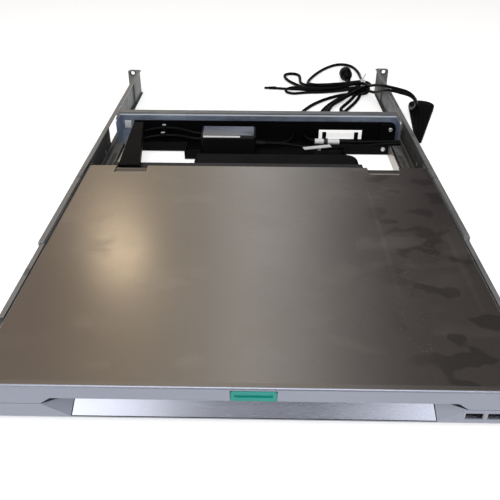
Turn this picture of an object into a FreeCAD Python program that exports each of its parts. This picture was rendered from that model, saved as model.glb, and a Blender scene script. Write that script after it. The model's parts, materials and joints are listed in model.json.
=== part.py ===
"""Rack console drawer, 1U: a flat monitor hinged over a keyboard tray, on telescopic rails, with a cable bay.

X runs to the right, Y to the back of the rack and Z up. The origin is the middle of the tray's underside.
All sizes are in millimetres.
"""
import FreeCAD, Part
import math
import os

V = FreeCAD.Vector

# Overall sizes
SPAN = 447.0                 # over the outer rails, and the width of the front
TRAY_DEPTH = 360.0           # tray pan, front wall to hinge zone
BEZEL_T = 12.0               # front bezel, front to back
LID_TOP = 43.0               # top of the closed lid
PARTING = 24.0               # underside of the closed lid
LID_TAIL = 11.0              # lid behind the tray pan
LID_GAP = 1.1                # lid's side to the inner rail
SHEET = 1.2                  # folded steel of tray and bay
SEAM = 0.3                   # gap at a joint line between moulded parts

# Telescopic rails
RAIL_H = 43.0
RAIL_LIFT = 0.5              # rail above the surface that the tray rests on
OUTER_WALL = 1.5
OUTER_FLANGE = 6.5
OUTER_LEN = 588.0
MID_WALL = 1.3
MID_FLANGE = 5.3
MID_LEN = 280.0
INNER_WALL = 1.2
INNER_DEPTH = 4.3
INNER_LEN = 380.0
INNER_SETBACK = 8.0          # inner rail's front end behind the pan's front wall
RAIL_GAP = 0.4               # running gap between nested rails
LEFT_MID_Y = -112.0          # front ends of the middle rails as the drawer stands
RIGHT_MID_Y = -92.0
OUTER_BEHIND = 118.0         # outer rail's front end behind the middle rail's
WINDOW_START = 330.0         # cable window in the outer rail's web, from its front end
WINDOW_LEN = 100.0
WINDOW_EDGE = 7.5            # web left above and below the window
WINDOW_CORNER = 3.0
STOPS_AT = (229.0, 284.0)    # flush rivets in the outer rail's web, from its front end
STOP_DROP = 5.0              # rivets below the web's middle
STOP_R = 3.2
STOP_HEAD = 0.25             # less than the running gap
RIVET_TAPER = 0.8
EAR_W = 17.8                 # ear outside the rail's face, for 482.6 over both
EAR_T = 2.0
EAR_TONGUE = 60.0
EAR_CORNER = 4.0
EAR_HOLE_R = 3.5
EAR_HOLE_OUT = 9.0           # hole's middle outside the rail's face, for 465 across the rack
EAR_HOLE_PITCH = 31.75

# Front
CHIN_Z = 10.0                # lower edge of the bezel's front face
CHIN_BACK = 8.0              # how far the chin runs back
BEZEL_CORNER = 2.0
SCOOP_TOP = 163.0            # half width of the finger scoop at the parting line
SCOOP_LOW = 141.3            # half width at its lower edge
SCOOP_BACK = 138.8           # half width at its back edge
SCOOP_LIP = 0.6              # rim under the scoop
SCOOP_WALL = 1.0             # bezel left behind the scoop
INSERT_T = 1.0
INSERT_TRIM = 0.4            # rim left round the scoop's insert
FASCIA_T = 6.0
FASCIA_NOTCH_H = 6.0         # notch above the scoop
FASCIA_NOTCH_TOP = 155.0     # half width of that notch at its top
FASCIA_ROUND = 2.2
USB_PITCH = 17.1
USB_FIRST = 168.7
USB_Z = 16.8
USB_W = 14.4
USB_H = 6.4
USB_LEN = 11.0
USB_WALL = 0.5
USB_TONGUE_BACK = 4.5        # contact tongue behind the socket's mouth
LATCH_W = 35.0
LATCH_BRIDGE = 2.8           # fascia above the latch
LATCH_GAP = 0.4
LATCH_PROUD = 0.3
LATCH_TRAVEL = 2.0
LATCH_SLOT = (29.0, 3.0, 1.2)
LATCH_REACH = 20.0           # catch behind the fascia's front face
CATCH_W = 12.0
CATCH_T = 2.0
CATCH_DIP = 4.0              # catch's tip below the deck's top

# Tray
DECK_TOP = 15.0
DECK_T = 2.0
DECK_SIDE = 7.4              # deck's side to the pan's wall
DECK_FRONT = 4.0             # deck's front to the pan's front
DECK_REAR = 22.0             # deck's rear to the pan's rear
DECK_WALL = 1.5
DECK_CORNER = 4.0
KEY_SIDE = 7.0               # deck's side to the key well
KEY_ROW = 22.5               # key pitches across and from front to rear
KEY_DEEP = 6.25
KEY_GAP = 1.6
KEY_TOP_SHRINK = 1.5         # each key's top is smaller by this on every side
KEY_PROUD = 4.5              # key tops above the deck
KEY_H = 7.5
KEY_WELL_REAR = 20.0         # key well's rear edge to the deck's rear edge
KEY_MARGIN = 2.0
KEY_TRAVEL = 2.2
KEY_BASE_T = 1.5
PAD_W = 100.0
PAD_D = 62.0
PAD_FRONT = 56.0             # touchpad's front edge behind the deck's front
PAD_T = 1.2
PAD_SINK = 1.0
PAD_BUTTON_W = 48.0
PAD_BUTTON_D = 11.0
PAD_BUTTON_GAP = 5.0
PAD_BUTTON_H = 6.6
PAD_BUTTON_PROUD = 0.6
PAD_FLANGE = 2.0
BOARD = (120.0, 80.0, 1.6)
BOARD_X = -150.0
BOARD_FRONT = 114.0          # board's front edge behind the deck's front
BOARD_LEG = 2.8

# Hinge
AXIS_BACK = 10.0             # hinge axis ahead of the lid's rear edge, and below its top
BARREL_R = 9.8
PIN_R = 4.0
PIN_GAP = 0.05
TOWER_W = 38.0
TOWER_X = 159.5
TOWER_FOOT = 34.0
NOTCH_GAP = 0.8
NOTCH_WALL = 1.2
NOTCH_CLEAR = 1.2            # lid's notch ahead of the barrel
KNUCKLE_R = 8.0
KNUCKLE_W = 8.0
LEAF_T = 2.0
LEAF_LEN = 32.0
LEAF_AHEAD = 31.0            # leaf plate's rear edge ahead of the hinge axis

# Lid
LID_WALL = 1.5
LID_ROUND = 2.0
LID_CORNER = 4.0
FACE_T = 2.0                 # display bezel
FACE_EDGE = 1.5              # display bezel inside the lid's outline
FACE_AHEAD = 17.0            # display bezel's rear edge ahead of the hinge axis
PANEL_SIDE = 16.5            # panel module inside the lid's sides
PANEL_FRONT = 16.5           # panel module behind the lid's front strip
PANEL_REAR = 13.5            # panel module ahead of the display bezel's rear edge
PANEL_T = 9.0
SCREEN_RIM = (10.0, 9.5)     # panel module outside the visible screen, across and along
DRIVER = (150.0, 90.0, 1.6)  # driver board on the back of the panel
DRIVER_CHIP = (14.0, 30.0, 1.6)
DRIVER_CHIPS = 4
DRIVER_CHIP_PITCH = 30.0
DRIVER_PLUG = (40.0, 8.0, 2.6)
DRIVER_PLUG_PITCH = 90.0
DRIVER_EDGE = 4.0            # plugs inside the driver board's rear edge
MENU_PITCH = 30.0
MENU_BACK = 7.0              # buttons ahead of the display bezel's rear edge
MENU_W = 10.0
MENU_D = 5.0
MENU_PROUD = 0.6
MENU_STEM = 3.0
MENU_FLANGE = 1.2
BUMPER_R = 4.5
BUMPER_SIDE = 4.0            # bumpers inside the deck's sides
BUMPER_END = 11.0            # bumpers inside the deck's ends

# Bay behind the tray
LEDGE_UP = 3.0               # ledge above the parting plane
LEDGE_START = 9.0            # ledge behind the closed lid
LEDGE_D = 33.0
LEDGE_RIGHT = 141.0
LEDGE_SHORT_D = 12.0         # ledge's depth at its right end
BAY_LEN = 198.0              # pan's rear to the crossbar's front face
CHANNEL_W = 21.6
CHANNEL_H = 17.0
CHANNEL_INNER = 150.0        # length of the side channels' inner walls
BAR_H = 12.0
BAR_D = 12.0
BAR_T = 1.5
STILE_W = 24.0
STILE_FLANGE = 28.0
STILE_HOLE = (11.0, 13.0)    # window in each stile, across and up
STILE_HOLE_Z = 24.0
STILE_CORNER = 6.0
BAR_CORNER = 5.0
SHELF_Z = 2.7                # top of the shelf's floor
SHELF_LIP = 15.0
SHELF_T = 1.5
SHELF_LEFT_D = 49.0          # shelf's depth at its left, beside the brick, in its middle and at its right
SHELF_NEAR_D = 77.0
SHELF_MID_D = 101.0
SHELF_RIGHT_D = 55.0
SHELF_STEP_LEFT = -107.0
SHELF_STEP_NEAR = -86.0
SHELF_STEP_RIGHT = 128.0
WALL_GAP = 0.4               # shelf's rear wall to the crossbar's right-hand flange
WALL_CORNER = 8.0
BOX_W = 24.0                 # raised box at the rear wall's right end
BOX_D = 5.0
BOX_TOP = 29.0
OUTLET_X = (95.0, 162.0)
OUTLET_TOP = 18.0
OUTLET_POST = 6.3
OUTLET_BAY = 5.5             # outlet's end to its post
OUTLET_OPEN = 4.0            # posts' heads below the outlet's top
ARM_W = (28.0, 15.0)         # arm's width, front and rear
ARM_H = 11.0
ARM_START = 3.0              # arm's front end behind the ledge's front
ARM_END = 26.0               # arm's rear end ahead of the crossbar
ARM_IN = (26.5, 14.0)        # arm's middle from the left side channel, front and rear
ARM_FOOT = 20.0
COVER_X = (-88.0, 140.0)
COVER_TOP = 23.0
COVER_ROUND = 6.0
COVER_CORNER = 16.0
BRICK_X = (-84.0, -3.0)
BRICK_D = 47.0
BRICK_BACK = 21.0            # brick's rear ahead of the crossbar
BRICK_H = 28.3
BRICK_ROUND = 5.0
BRICK_EDGE = 2.0
BOOT_LEN = 14.0
BOOT_R = 5.0
BOOT_LIP = 0.7               # boot's end outside its lead
BOOT_BACK = 20.0             # boot behind the brick's front, and above the shelf
BOOT_UP = 12.0
SCREW_R = 3.2
SCREW_H = 1.6
SCREW_TAPER = 1.0
SCREW_INSET = 8.0            # screws inside the ends of what they hold
SCREW_WALL_Z = 21.0
SCREW_LIP_Z = 10.0

# Cords
MAINS_D = 6.0
SIGNAL_D = 5.0
BAY_CABLE_D = 5.0
CLIP_GAP = 1.8
FLAG_TURN = 15.0             # marker flag's slant in plan
GLAND_R = 6.0
GLAND_LEN = 26.0
GLAND_Z = 12.0
GLAND_NUT = (7.2, 4.0)       # lock nut inside the rear wall: radius and length
MAINS_GLAND_X = 55.0
SIGNAL_GLAND_X = 72.0
BUNDLE_R = 14.0
BUNDLE_WAIST_R = 8.0         # bundle's radius at the tie and at its far end
BUNDLE_TAIL_R = 6.0
BUNDLE_SWELL = 20.0
BUNDLE_X = (70.0, 190.0)
BUNDLE_Y = 608.0
BUNDLE_Z = 14.2
TIE_R = 10.5
TIE_W = 9.0
FAN_T = 11.0
FAN_CORNER = 7.0
SLEEVE_T = 9.0
SLEEVE_HEAD = (289.0, 528.0, 22.0)
SLEEVE_TIP = (251.0, 374.0, 5.0)
PLUG_X = 172.0
PLUG_Y = (648.0, 690.0)      # end of the plug's neck, and its face
PLUG_R = 13.0

# Places worked out from the sizes above
FRONT_Y = -TRAY_DEPTH / 2 - BEZEL_T
PAN_FRONT = -TRAY_DEPTH / 2
PAN_REAR = TRAY_DEPTH / 2
LID_REAR = PAN_REAR + LID_TAIL
AXIS_Y = LID_REAR - AXIS_BACK
AXIS_Z = LID_TOP - AXIS_BACK
FASCIA_BACK = FRONT_Y + FASCIA_T
FASCIA_NOTCH_Z = PARTING + FASCIA_NOTCH_H
BEZEL_TOP = PARTING - SEAM
PAN_WALL_TOP = PARTING - 1.0
LID_SKIRT_Z = PARTING + FACE_T
REAR_SKIRT_Z = LID_SKIRT_Z + 1.0
RAIL_TOP = RAIL_LIFT + RAIL_H
OUTER_X = SPAN / 2
MID_X = OUTER_X - OUTER_WALL - RAIL_GAP
INNER_TIP_X = MID_X - MID_WALL - RAIL_GAP
PAN_X = INNER_TIP_X - INNER_DEPTH
LID_X = PAN_X - LID_GAP
DECK_X = PAN_X - SHEET - DECK_SIDE
KEY_PITCH = 2 * (DECK_X - KEY_SIDE - KEY_MARGIN) / KEY_ROW
CHANNEL_X = PAN_X - CHANNEL_W
ARM_X = tuple(inside - CHANNEL_X for inside in ARM_IN)
DECK_Y = (PAN_FRONT + DECK_FRONT, PAN_REAR - DECK_REAR)
KEY_Z = (DECK_TOP + KEY_PROUD - KEY_H, DECK_TOP + KEY_PROUD)
KEY_BASE_TOP = KEY_Z[0] - KEY_TRAVEL - SEAM
PAD_Y = DECK_Y[0] + PAD_FRONT
LATCH_Z = (FASCIA_NOTCH_Z + SEAM, LID_TOP - LATCH_BRIDGE)
USB_X = (USB_FIRST, USB_FIRST + USB_PITCH)
FACE_REAR = AXIS_Y - FACE_AHEAD
MENU_Y = FACE_REAR - MENU_BACK
MENU_X = (-1.5 * MENU_PITCH, -0.5 * MENU_PITCH, 0.5 * MENU_PITCH)
POWER_X = 1.5 * MENU_PITCH
LEDGE_Z = PARTING + LEDGE_UP
LEDGE_Y = (LID_REAR + LEDGE_START, LID_REAR + LEDGE_START + LEDGE_D)
LEDGE_SHORT = LEDGE_Y[0] + LEDGE_SHORT_D
BAY_END = PAN_REAR + BAY_LEN
BAR_Z = LID_TOP - BAR_H
SHELF_LEFT_Y = BAY_END - SHELF_LEFT_D
SHELF_NEAR_Y = BAY_END - SHELF_NEAR_D
SHELF_MID_Y = BAY_END - SHELF_MID_D
SHELF_RIGHT_Y = BAY_END - SHELF_RIGHT_D
WALL_LEFT = -CHANNEL_X + 2
WALL_RIGHT = PAN_X - SHEET - BAR_T - WALL_GAP
WALL_FRONT = BAY_END - SHELF_T
BOX_FRONT = WALL_FRONT - BOX_D
ARM_Z = (LEDGE_Z, LEDGE_Z + ARM_H)
ARM_Y = (LEDGE_Y[0] + ARM_START, BAY_END - ARM_END)
BRICK_Y = (BAY_END - BRICK_BACK - BRICK_D, BAY_END - BRICK_BACK)
CORD_LEVEL = SHELF_Z + 4.7   # middle of the bay's cables above the shelf
MIDDLE_CHAIN = {"left": LEFT_MID_Y, "right": RIGHT_MID_Y}

# Routes of the cords as they lie, point by point
MAINS_FEED = [(55, 404, 12), (55, 420, 12), (57, 440, 8), (63, 460, 4.2), (71, 480, 3.6)]
SIGNAL_FEED = [(72, 404, 12), (72, 420, 12), (80, 439, 7.5), (93, 456, 3.6), (106, 474, 3)]
MAINS_TAIL = [(172, 648, 13), (171.5, 638.5, 12.5), (176, 628.5, 11.5), (187, 624, 10),
              (198.5, 628.5, 7.5), (203, 640, 5), (204, 662, 3.6), (204, 693, 3.4), (203, 727, 3.4),
              (198, 758, 3.4), (185, 777, 3.4), (167, 778, 3.4), (149, 763, 3.4), (131, 738, 3.4),
              (114, 706, 3.4), (101, 674, 3.6), (94, 645, 5.5), (98, 620, 11)]
MAINS_EYE = [(88, 612, 8), (79, 630, 4.5), (66, 650, 3.4), (55, 672, 3.4), (51, 696, 3.4),
             (55.5, 707, 3.4), (66.5, 711.7, 3.4), (77.5, 707, 3.4), (82, 696, 3.4), (82, 675, 3.4),
             (81, 655, 3.6), (84, 637, 5.5), (91, 620, 10)]
SIGNAL_UPPER = [(190, 604, 15), (196, 566, 25), (203, 524, 42), (212, 488, 52), (230, 474, 52),
                (248, 467, 49), (263, 474, 35), (271, 493, 19), (275, 513, 8), (281, 530, 5)]
SIGNAL_LOWER = [(192, 600, 8), (199, 553, 15), (206, 508, 34), (213, 471, 51.5), (231, 455, 52),
                (249, 448, 49), (262, 457, 34), (265, 480, 17), (265, 504, 7), (269, 523, 4.5)]
SIGNAL_TIP = [(76, 609, 8), (60, 613, 4), (46, 618, 2.9), (33, 621, 2.9)]
FAN_OUTLINE = [(183, 606), (104, 546), (68, 490), (66, 466), (138, 462), (168, 512), (181, 556),
               (194, 596)]


def block(x, y, z):
    """Box between the given low and high values on each axis."""
    return Part.makeBox(x[1] - x[0], y[1] - y[0], z[1] - z[0], V(x[0], y[0], z[0]))


def centred(size, x, y, z):
    """Box of a given size, centred in plan on a point and standing on a height."""
    return Part.makeBox(*size, V(x - size[0] / 2, y - size[1] / 2, z))


def prism(points, direction):
    """Closed outline of 3-D points, filled and pushed along a vector."""
    outline = Part.makePolygon([V(*p) for p in points] + [V(*points[0])])
    return Part.Face(outline).extrude(V(*direction))


def along_x(profile, x):
    """Outline of (y, z) points extruded between two x values."""
    return prism([(x[0], p[0], p[1]) for p in profile], (x[1] - x[0], 0, 0))


def along_y(profile, y):
    """Outline of (x, z) points extruded between two y values."""
    return prism([(p[0], y[0], p[1]) for p in profile], (0, y[1] - y[0], 0))


def along_z(profile, z):
    """Outline of (x, y) points extruded between two z values."""
    return prism([(p[0], p[1], z[0]) for p in profile], (0, 0, z[1] - z[0]))


def rod(start, end, radius, end_radius=None):
    """Cylinder, or cone, from one point to another."""
    a, b = V(*start), V(*end)
    length = (b - a).Length
    if end_radius is None:
        return Part.makeCylinder(radius, length, a, b - a)
    return Part.makeCone(radius, end_radius, length, a, b - a)


def fused(shapes):
    """Union of several solids with its seams removed."""
    body = shapes[0]
    for shape in shapes[1:]:
        body = body.fuse(shape)
    return body.removeSplitter()


def mirrored(shape):
    """The same piece on the left-hand side."""
    return shape.mirror(V(0, 0, 0), V(1, 0, 0))


def on_side(side, shape):
    """A piece modelled on the right, placed on the named side."""
    return shape if side == "right" else mirrored(shape)


def straight_edges(shape, axis, test):
    """Straight edges along an axis (0, 1 or 2) whose middle passes a test."""
    chosen = []
    for edge in shape.Edges:
        if not isinstance(edge.Curve, Part.Line):
            continue
        run = edge.Vertexes[-1].Point - edge.Vertexes[0].Point
        if run.Length > 0 and abs(abs(run[axis]) - run.Length) < 1e-6 and test(edge.CenterOfMass):
            chosen.append(edge)
    return chosen


def rounded_block(x, y, z, radius, axis):
    """Box whose four edges along one axis are rounded."""
    body = block(x, y, z)
    return body.makeFillet(radius, straight_edges(body, axis, lambda c: True))


def cord_wire(points):
    """Path of straight runs and tangent arcs, each as large as its runs allow, with the arcs' radii."""
    knots = [V(*p) for p in points]
    edges, radii = [], []
    at = knots[0]
    for before, corner, after in zip(knots, knots[1:], knots[2:]):
        come, go = corner - before, after - corner
        turn = come.getAngle(go)
        reach = 0.45 * min(come.Length, go.Length)
        radii.append(reach / math.tan(turn / 2))
        come.normalize()
        go.normalize()
        start, end = corner - come * reach, corner + go * reach
        inward = (go - come).normalize()
        middle = corner + inward * (radii[-1] / math.cos(turn / 2) - radii[-1])
        edges.append(Part.LineSegment(at, start).toShape())
        edges.append(Part.Arc(start, middle, end).toShape())
        at = end
    edges.append(Part.LineSegment(at, knots[-1]).toShape())
    return Part.Wire(edges), radii


def cord_tube(name, points, diameter):
    """Round cord along a route."""
    path, radii = cord_wire(points)
    start, heading = V(*points[0]), V(*points[1]) - V(*points[0])
    ring = Part.Wire(Part.makeCircle(diameter / 2, start, heading))
    tube = path.makePipeShell([ring], True, False)
    full = math.pi * diameter ** 2 / 4 * path.Length
    print(name, "radii", [round(r, 1) for r in radii], "length", round(path.Length, 1),
          "volume ratio", round(tube.Volume / full, 4))
    return tube


# Slide rails

def channel(outer_x, depth, wall, z, y):
    """Folded C rail that opens towards the tray, its folds as round outside as the sheet is thick."""
    tip = outer_x - depth
    web = outer_x - wall
    section = [(tip, z[0]), (outer_x, z[0]), (outer_x, z[1]), (tip, z[1]),
               (tip, z[1] - wall), (web, z[1] - wall), (web, z[0] + wall), (tip, z[0] + wall)]
    rail = along_y(section, y)
    return rail.makeFillet(wall, straight_edges(rail, 1, lambda c: c.x > web + wall / 2))


def rivet(face, y, z):
    """Rivet head that stands towards the tray on an upright face."""
    return rod((face + STOP_HEAD / 2, y, z), (face - STOP_HEAD, y, z), STOP_R, STOP_R - RIVET_TAPER)



def outer_front(side):
    """Front end of the outer rail on a side."""
    return MIDDLE_CHAIN[side] + OUTER_BEHIND


def outer_rail(side):
    """Outer C rail with its cable window and the rivets that stop the middle rail."""
    front = outer_front(side)
    rail = channel(OUTER_X, OUTER_FLANGE, OUTER_WALL, (RAIL_LIFT, RAIL_TOP), (front, front + OUTER_LEN))
    window = rounded_block((OUTER_X - 2 * OUTER_WALL, OUTER_X + OUTER_WALL),
                           (front + WINDOW_START, front + WINDOW_START + WINDOW_LEN),
                           (RAIL_LIFT + WINDOW_EDGE, RAIL_TOP - WINDOW_EDGE), WINDOW_CORNER, 0)
    stop_z = (RAIL_LIFT + RAIL_TOP) / 2 - STOP_DROP
    stops = [rivet(OUTER_X - OUTER_WALL, front + at, stop_z) for at in STOPS_AT]
    return on_side(side, fused([rail.cut(window)] + stops))


def rear_ear(side):
    """Rack ear: a tongue inside the outer rail's web and a flange turned outwards behind its end."""
    end = outer_front(side) + OUTER_LEN
    web = OUTER_X - OUTER_WALL
    z = (RAIL_LIFT + OUTER_WALL, RAIL_TOP - OUTER_WALL)
    tongue = block((web - EAR_T, web), (end - EAR_TONGUE, end), z)
    flange = block((web - EAR_T, OUTER_X + EAR_W), (end, end + EAR_T), (RAIL_LIFT, RAIL_TOP))
    flange = flange.makeFillet(EAR_CORNER, straight_edges(flange, 1, lambda c: c.x > OUTER_X))
    ear = fused([tongue, flange])
    middle = (RAIL_LIFT + RAIL_TOP) / 2
    x = OUTER_X + EAR_HOLE_OUT
    for offset in (-EAR_HOLE_PITCH / 2, EAR_HOLE_PITCH / 2):
        z = middle + offset
        ear = ear.cut(rod((x, end - 1, z), (x, end + EAR_T + 1, z), EAR_HOLE_R))
    heads = [rivet(web - EAR_T, end - EAR_TONGUE * step, middle) for step in (0.25, 0.75)]
    return on_side(side, fused([ear] + heads))


def mid_rail(side):
    """Middle C rail, nested in the outer one."""
    front = MIDDLE_CHAIN[side]
    z = (RAIL_LIFT + OUTER_WALL + RAIL_GAP, RAIL_TOP - OUTER_WALL - RAIL_GAP)
    return on_side(side, channel(MID_X, MID_FLANGE, MID_WALL, z, (front, front + MID_LEN)))


def inner_rail(side):
    """Inner rail: a C that opens outwards, fixed to the tray's side wall and running in the middle rail."""
    inset = OUTER_WALL + MID_WALL + 2 * RAIL_GAP
    z = (RAIL_LIFT + inset, RAIL_TOP - inset)
    face, tip = PAN_X, INNER_TIP_X
    web = face + INNER_WALL
    section = [(face, z[0]), (tip, z[0]), (tip, z[0] + INNER_WALL), (web, z[0] + INNER_WALL),
               (web, z[1] - INNER_WALL), (tip, z[1] - INNER_WALL), (tip, z[1]), (face, z[1])]
    front = PAN_FRONT + INNER_SETBACK
    return on_side(side, along_y(section, (front, front + INNER_LEN)))


# Tray

def tray_pan():
    """Folded steel pan with side walls, and behind the lid a raised ledge that closes the bay's front."""
    floor = block((-PAN_X, PAN_X), (PAN_FRONT, PAN_REAR), (0, SHEET))
    tail = block((-CHANNEL_X, CHANNEL_X), (PAN_REAR, LEDGE_SHORT), (0, SHEET))
    deep = block((-CHANNEL_X, LEDGE_RIGHT), (LEDGE_SHORT, LEDGE_Y[1]), (0, SHEET))
    walls = [block((PAN_X - SHEET, PAN_X), (PAN_FRONT, PAN_REAR), (0, PAN_WALL_TOP))]
    walls.append(mirrored(walls[0]))
    walls.append(block((-PAN_X, PAN_X), (PAN_FRONT, PAN_FRONT + SHEET), (0, CHIN_Z - 1)))
    top = block((-CHANNEL_X, LEDGE_RIGHT), LEDGE_Y, (LEDGE_Z - SHEET, LEDGE_Z))
    back = block((-CHANNEL_X, LEDGE_RIGHT), (LEDGE_Y[1] - SHEET, LEDGE_Y[1]), (0, LEDGE_Z))
    cheek = block((LEDGE_RIGHT - SHEET, LEDGE_RIGHT), LEDGE_Y, (0, LEDGE_Z))
    side = block((LEDGE_RIGHT, CHANNEL_X), (LEDGE_SHORT - SHEET, LEDGE_SHORT), (0, CHANNEL_H))
    return fused([floor, tail, deep] + walls + [top, back, cheek, side])


def keyboard_deck():
    """Moulded deck: a skirt to the pan's floor, the key well, the touchpad recess and its button slots."""
    half = DECK_X
    deck = rounded_block((-half, half), DECK_Y, (SHEET, DECK_TOP), DECK_CORNER, 2)
    hollow = block((-half + DECK_WALL, half - DECK_WALL), (DECK_Y[0] + DECK_WALL, DECK_Y[1] - DECK_WALL),
                   (SHEET, DECK_TOP - DECK_T))
    deck = deck.cut(hollow)
    well_x, well_y = key_well()
    rim = block(*well_rim(), (KEY_BASE_TOP, DECK_TOP))
    deck = deck.fuse(rim).cut(block(well_x, well_y, (0, DECK_TOP + 1)))
    deck = deck.cut(block(*pad_span(), (DECK_TOP - PAD_SINK, DECK_TOP + 1)))
    for low, high in pad_button_spans():
        deck = deck.cut(block((low - SEAM, high + SEAM), pad_button_y(SEAM), (0, DECK_TOP + 1)))
    reach = FRONT_Y + LATCH_REACH
    slot = block((-CATCH_W / 2 - 2, CATCH_W / 2 + 2), (reach - CATCH_T - 3, reach + LATCH_TRAVEL + 3),
                 (0, DECK_TOP + 1))
    return deck.cut(slot).removeSplitter()


def key_well():
    """Low and high x and y of the opening that the keys stand in."""
    half = KEY_ROW * KEY_PITCH / 2 + KEY_MARGIN
    rear = DECK_Y[1] - KEY_WELL_REAR
    return (-half, half), (rear - KEY_DEEP * KEY_PITCH - 2 * KEY_MARGIN, rear)


def well_rim():
    """Low and high x and y over the walls of the key well."""
    well_x, well_y = key_well()
    return (well_x[0] - DECK_WALL, well_x[1] + DECK_WALL), (well_y[0] - DECK_WALL, well_y[1] + DECK_WALL)


def keyboard_base():
    """Plate under the keys, against the well's rim."""
    return block(*well_rim(), (KEY_BASE_TOP - KEY_BASE_T, KEY_BASE_TOP))


def key_rows():
    """Widths of the keys of each row from the front, in key units; negative widths are gaps."""
    arrows = [-0.25, 1, 1, 1, -0.25, 2, 1, 1]
    letters = [-3.5, 1, 1, 1]
    pad = [-0.25, 1, 1, 1, 1]
    return [
        [1.25, 1.25, 1.25, 6.25, 1.25, 1.25, 1.25, 1.25] + arrows,
        [2.25] + [1] * 10 + [2.75, -1.25, 1, -1.25] + pad[1:],
        [1.75] + [1] * 11 + [2.25] + letters + [1],
        [1.5] + [1] * 12 + [1.5, -0.25, 1, 1, 1] + pad,
        [1] * 13 + [2, -0.25, 1, 1, 1] + pad,
        [1, -1, 1, 1, 1, 1, -0.5, 1, 1, 1, 1, -0.5, 1, 1, 1, 1, -0.25, 1, 1, 1] + pad,
    ]


def keycaps():
    """All key caps, each a small frustum."""
    well_x, well_y = key_well()
    caps = []
    for row, widths in enumerate(key_rows()):
        lift = 0.25 * KEY_PITCH if row == 5 else 0
        y0 = well_y[0] + KEY_MARGIN + row * KEY_PITCH + KEY_GAP / 2 + lift
        y1 = y0 + KEY_PITCH - KEY_GAP
        x = well_x[0] + KEY_MARGIN
        for width in widths:
            x0, x1 = x + KEY_GAP / 2, x + abs(width) * KEY_PITCH - KEY_GAP / 2
            x += abs(width) * KEY_PITCH
            if width > 0:
                s = KEY_TOP_SHRINK
                caps.append(Part.makeWedge(x0, KEY_Z[0], y0, y0 + s, x0 + s,
                                           x1, KEY_Z[1], y1, y1 - s, x1 - s))
    turned = []
    for cap in caps:
        cap.rotate(V(0, 0, 0), V(1, 0, 0), 90)
        turned.append(cap.mirror(V(0, 0, 0), V(0, 1, 0)))
    return Part.makeCompound(turned)


def pad_span():
    """Low and high x and y of the touch surface."""
    return (-PAD_W / 2, PAD_W / 2), (PAD_Y, PAD_Y + PAD_D)


def touchpad():
    """Touch surface in its recess."""
    return block(*pad_span(), (DECK_TOP - PAD_SINK, DECK_TOP - PAD_SINK + PAD_T))


def pad_button_spans():
    """Low and high x of the two touchpad buttons."""
    return [(-PAD_BUTTON_W - 1, -1), (1, PAD_BUTTON_W + 1)]


def pad_button_y(grow=0.0):
    """Low and high y of the touchpad buttons."""
    back = PAD_Y - PAD_BUTTON_GAP
    return back - PAD_BUTTON_D - grow, back + grow


def pad_button(index):
    """Touchpad button with a flange that stops it under the deck."""
    low, high = pad_button_spans()[index]
    y = pad_button_y()
    outer = (low - PAD_FLANGE, high - SEAM) if index == 0 else (low + SEAM, high + PAD_FLANGE)
    crown = DECK_TOP + PAD_BUTTON_PROUD
    cap = rounded_block((low, high), y, (crown - PAD_BUTTON_H, crown), 1.5, 2)
    top = DECK_TOP - DECK_T - SEAM
    flange = block(outer, (y[0] - PAD_FLANGE, y[1] + PAD_FLANGE), (top - 1.2, top))
    return fused([cap, flange])


def main_board():
    """Controller board on four legs, with its chips."""
    x, y = BOARD_X, DECK_Y[0] + BOARD_FRONT
    z = SHEET + BOARD_LEG
    board = block((x, x + BOARD[0]), (y, y + BOARD[1]), (z, z + BOARD[2]))
    legs = [rod((px, py, SHEET), (px, py, z), 2.5)
            for px in (x + 5, x + BOARD[0] - 5) for py in (y + 5, y + BOARD[1] - 5)]
    chips = [block((x + 20 + 32 * i, x + 38 + 32 * i), (y + 30, y + 48), (z + BOARD[2], z + BOARD[2] + 1.2))
             for i in range(3)]
    return fused([board] + legs + chips)


# Front

def scoop_faces():
    """Height of the finger scoop's lower edge and depth of its back edge."""
    return CHIN_Z + SCOOP_LIP, PAN_FRONT - SCOOP_WALL


def scoop_void():
    """Wedge-shaped space of the finger scoop, with slanted ends."""
    low, back = scoop_faces()
    corners = {}
    for sign in (-1, 1):
        corners[sign] = (V(sign * SCOOP_TOP, FRONT_Y, BEZEL_TOP), V(sign * SCOOP_LOW, FRONT_Y, low),
                         V(sign * SCOOP_BACK, back, BEZEL_TOP))
    (a, b, c), (d, e, f) = corners[-1], corners[1]
    outlines = [(a, b, e, d), (a, d, f, c), (b, c, f, e), (a, c, b), (d, e, f)]
    shell = Part.Shell([Part.Face(Part.makePolygon(list(o) + [o[0]])) for o in outlines])
    solid = Part.Solid(shell)
    if solid.Volume < 0:
        solid.reverse()
    return solid


def scoop_insert():
    """Brushed plate let into the scoop's sloping floor."""
    low, back = scoop_faces()
    rise = V(0, back - FRONT_Y, BEZEL_TOP - low)
    normal = V(0, rise.z, -rise.y).normalize()
    trim = INSERT_TRIM
    edge = rise * (1.0 / rise.Length) * trim
    lower, upper = V(0, FRONT_Y, low) + edge, V(0, back, BEZEL_TOP) - edge
    outline = [(-SCOOP_LOW + trim, lower.y, lower.z), (SCOOP_LOW - trim, lower.y, lower.z),
               (SCOOP_BACK - trim, upper.y, upper.z), (-SCOOP_BACK + trim, upper.y, upper.z)]
    return prism(outline, tuple(normal * INSERT_T))


def usb_pockets(x, grow, y):
    """Block of a USB socket's outline, larger by a given amount on each side."""
    half_w, half_h = USB_W / 2 + grow, USB_H / 2 + grow
    return block((x - half_w, x + half_w), y, (USB_Z - half_h, USB_Z + half_h))


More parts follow.
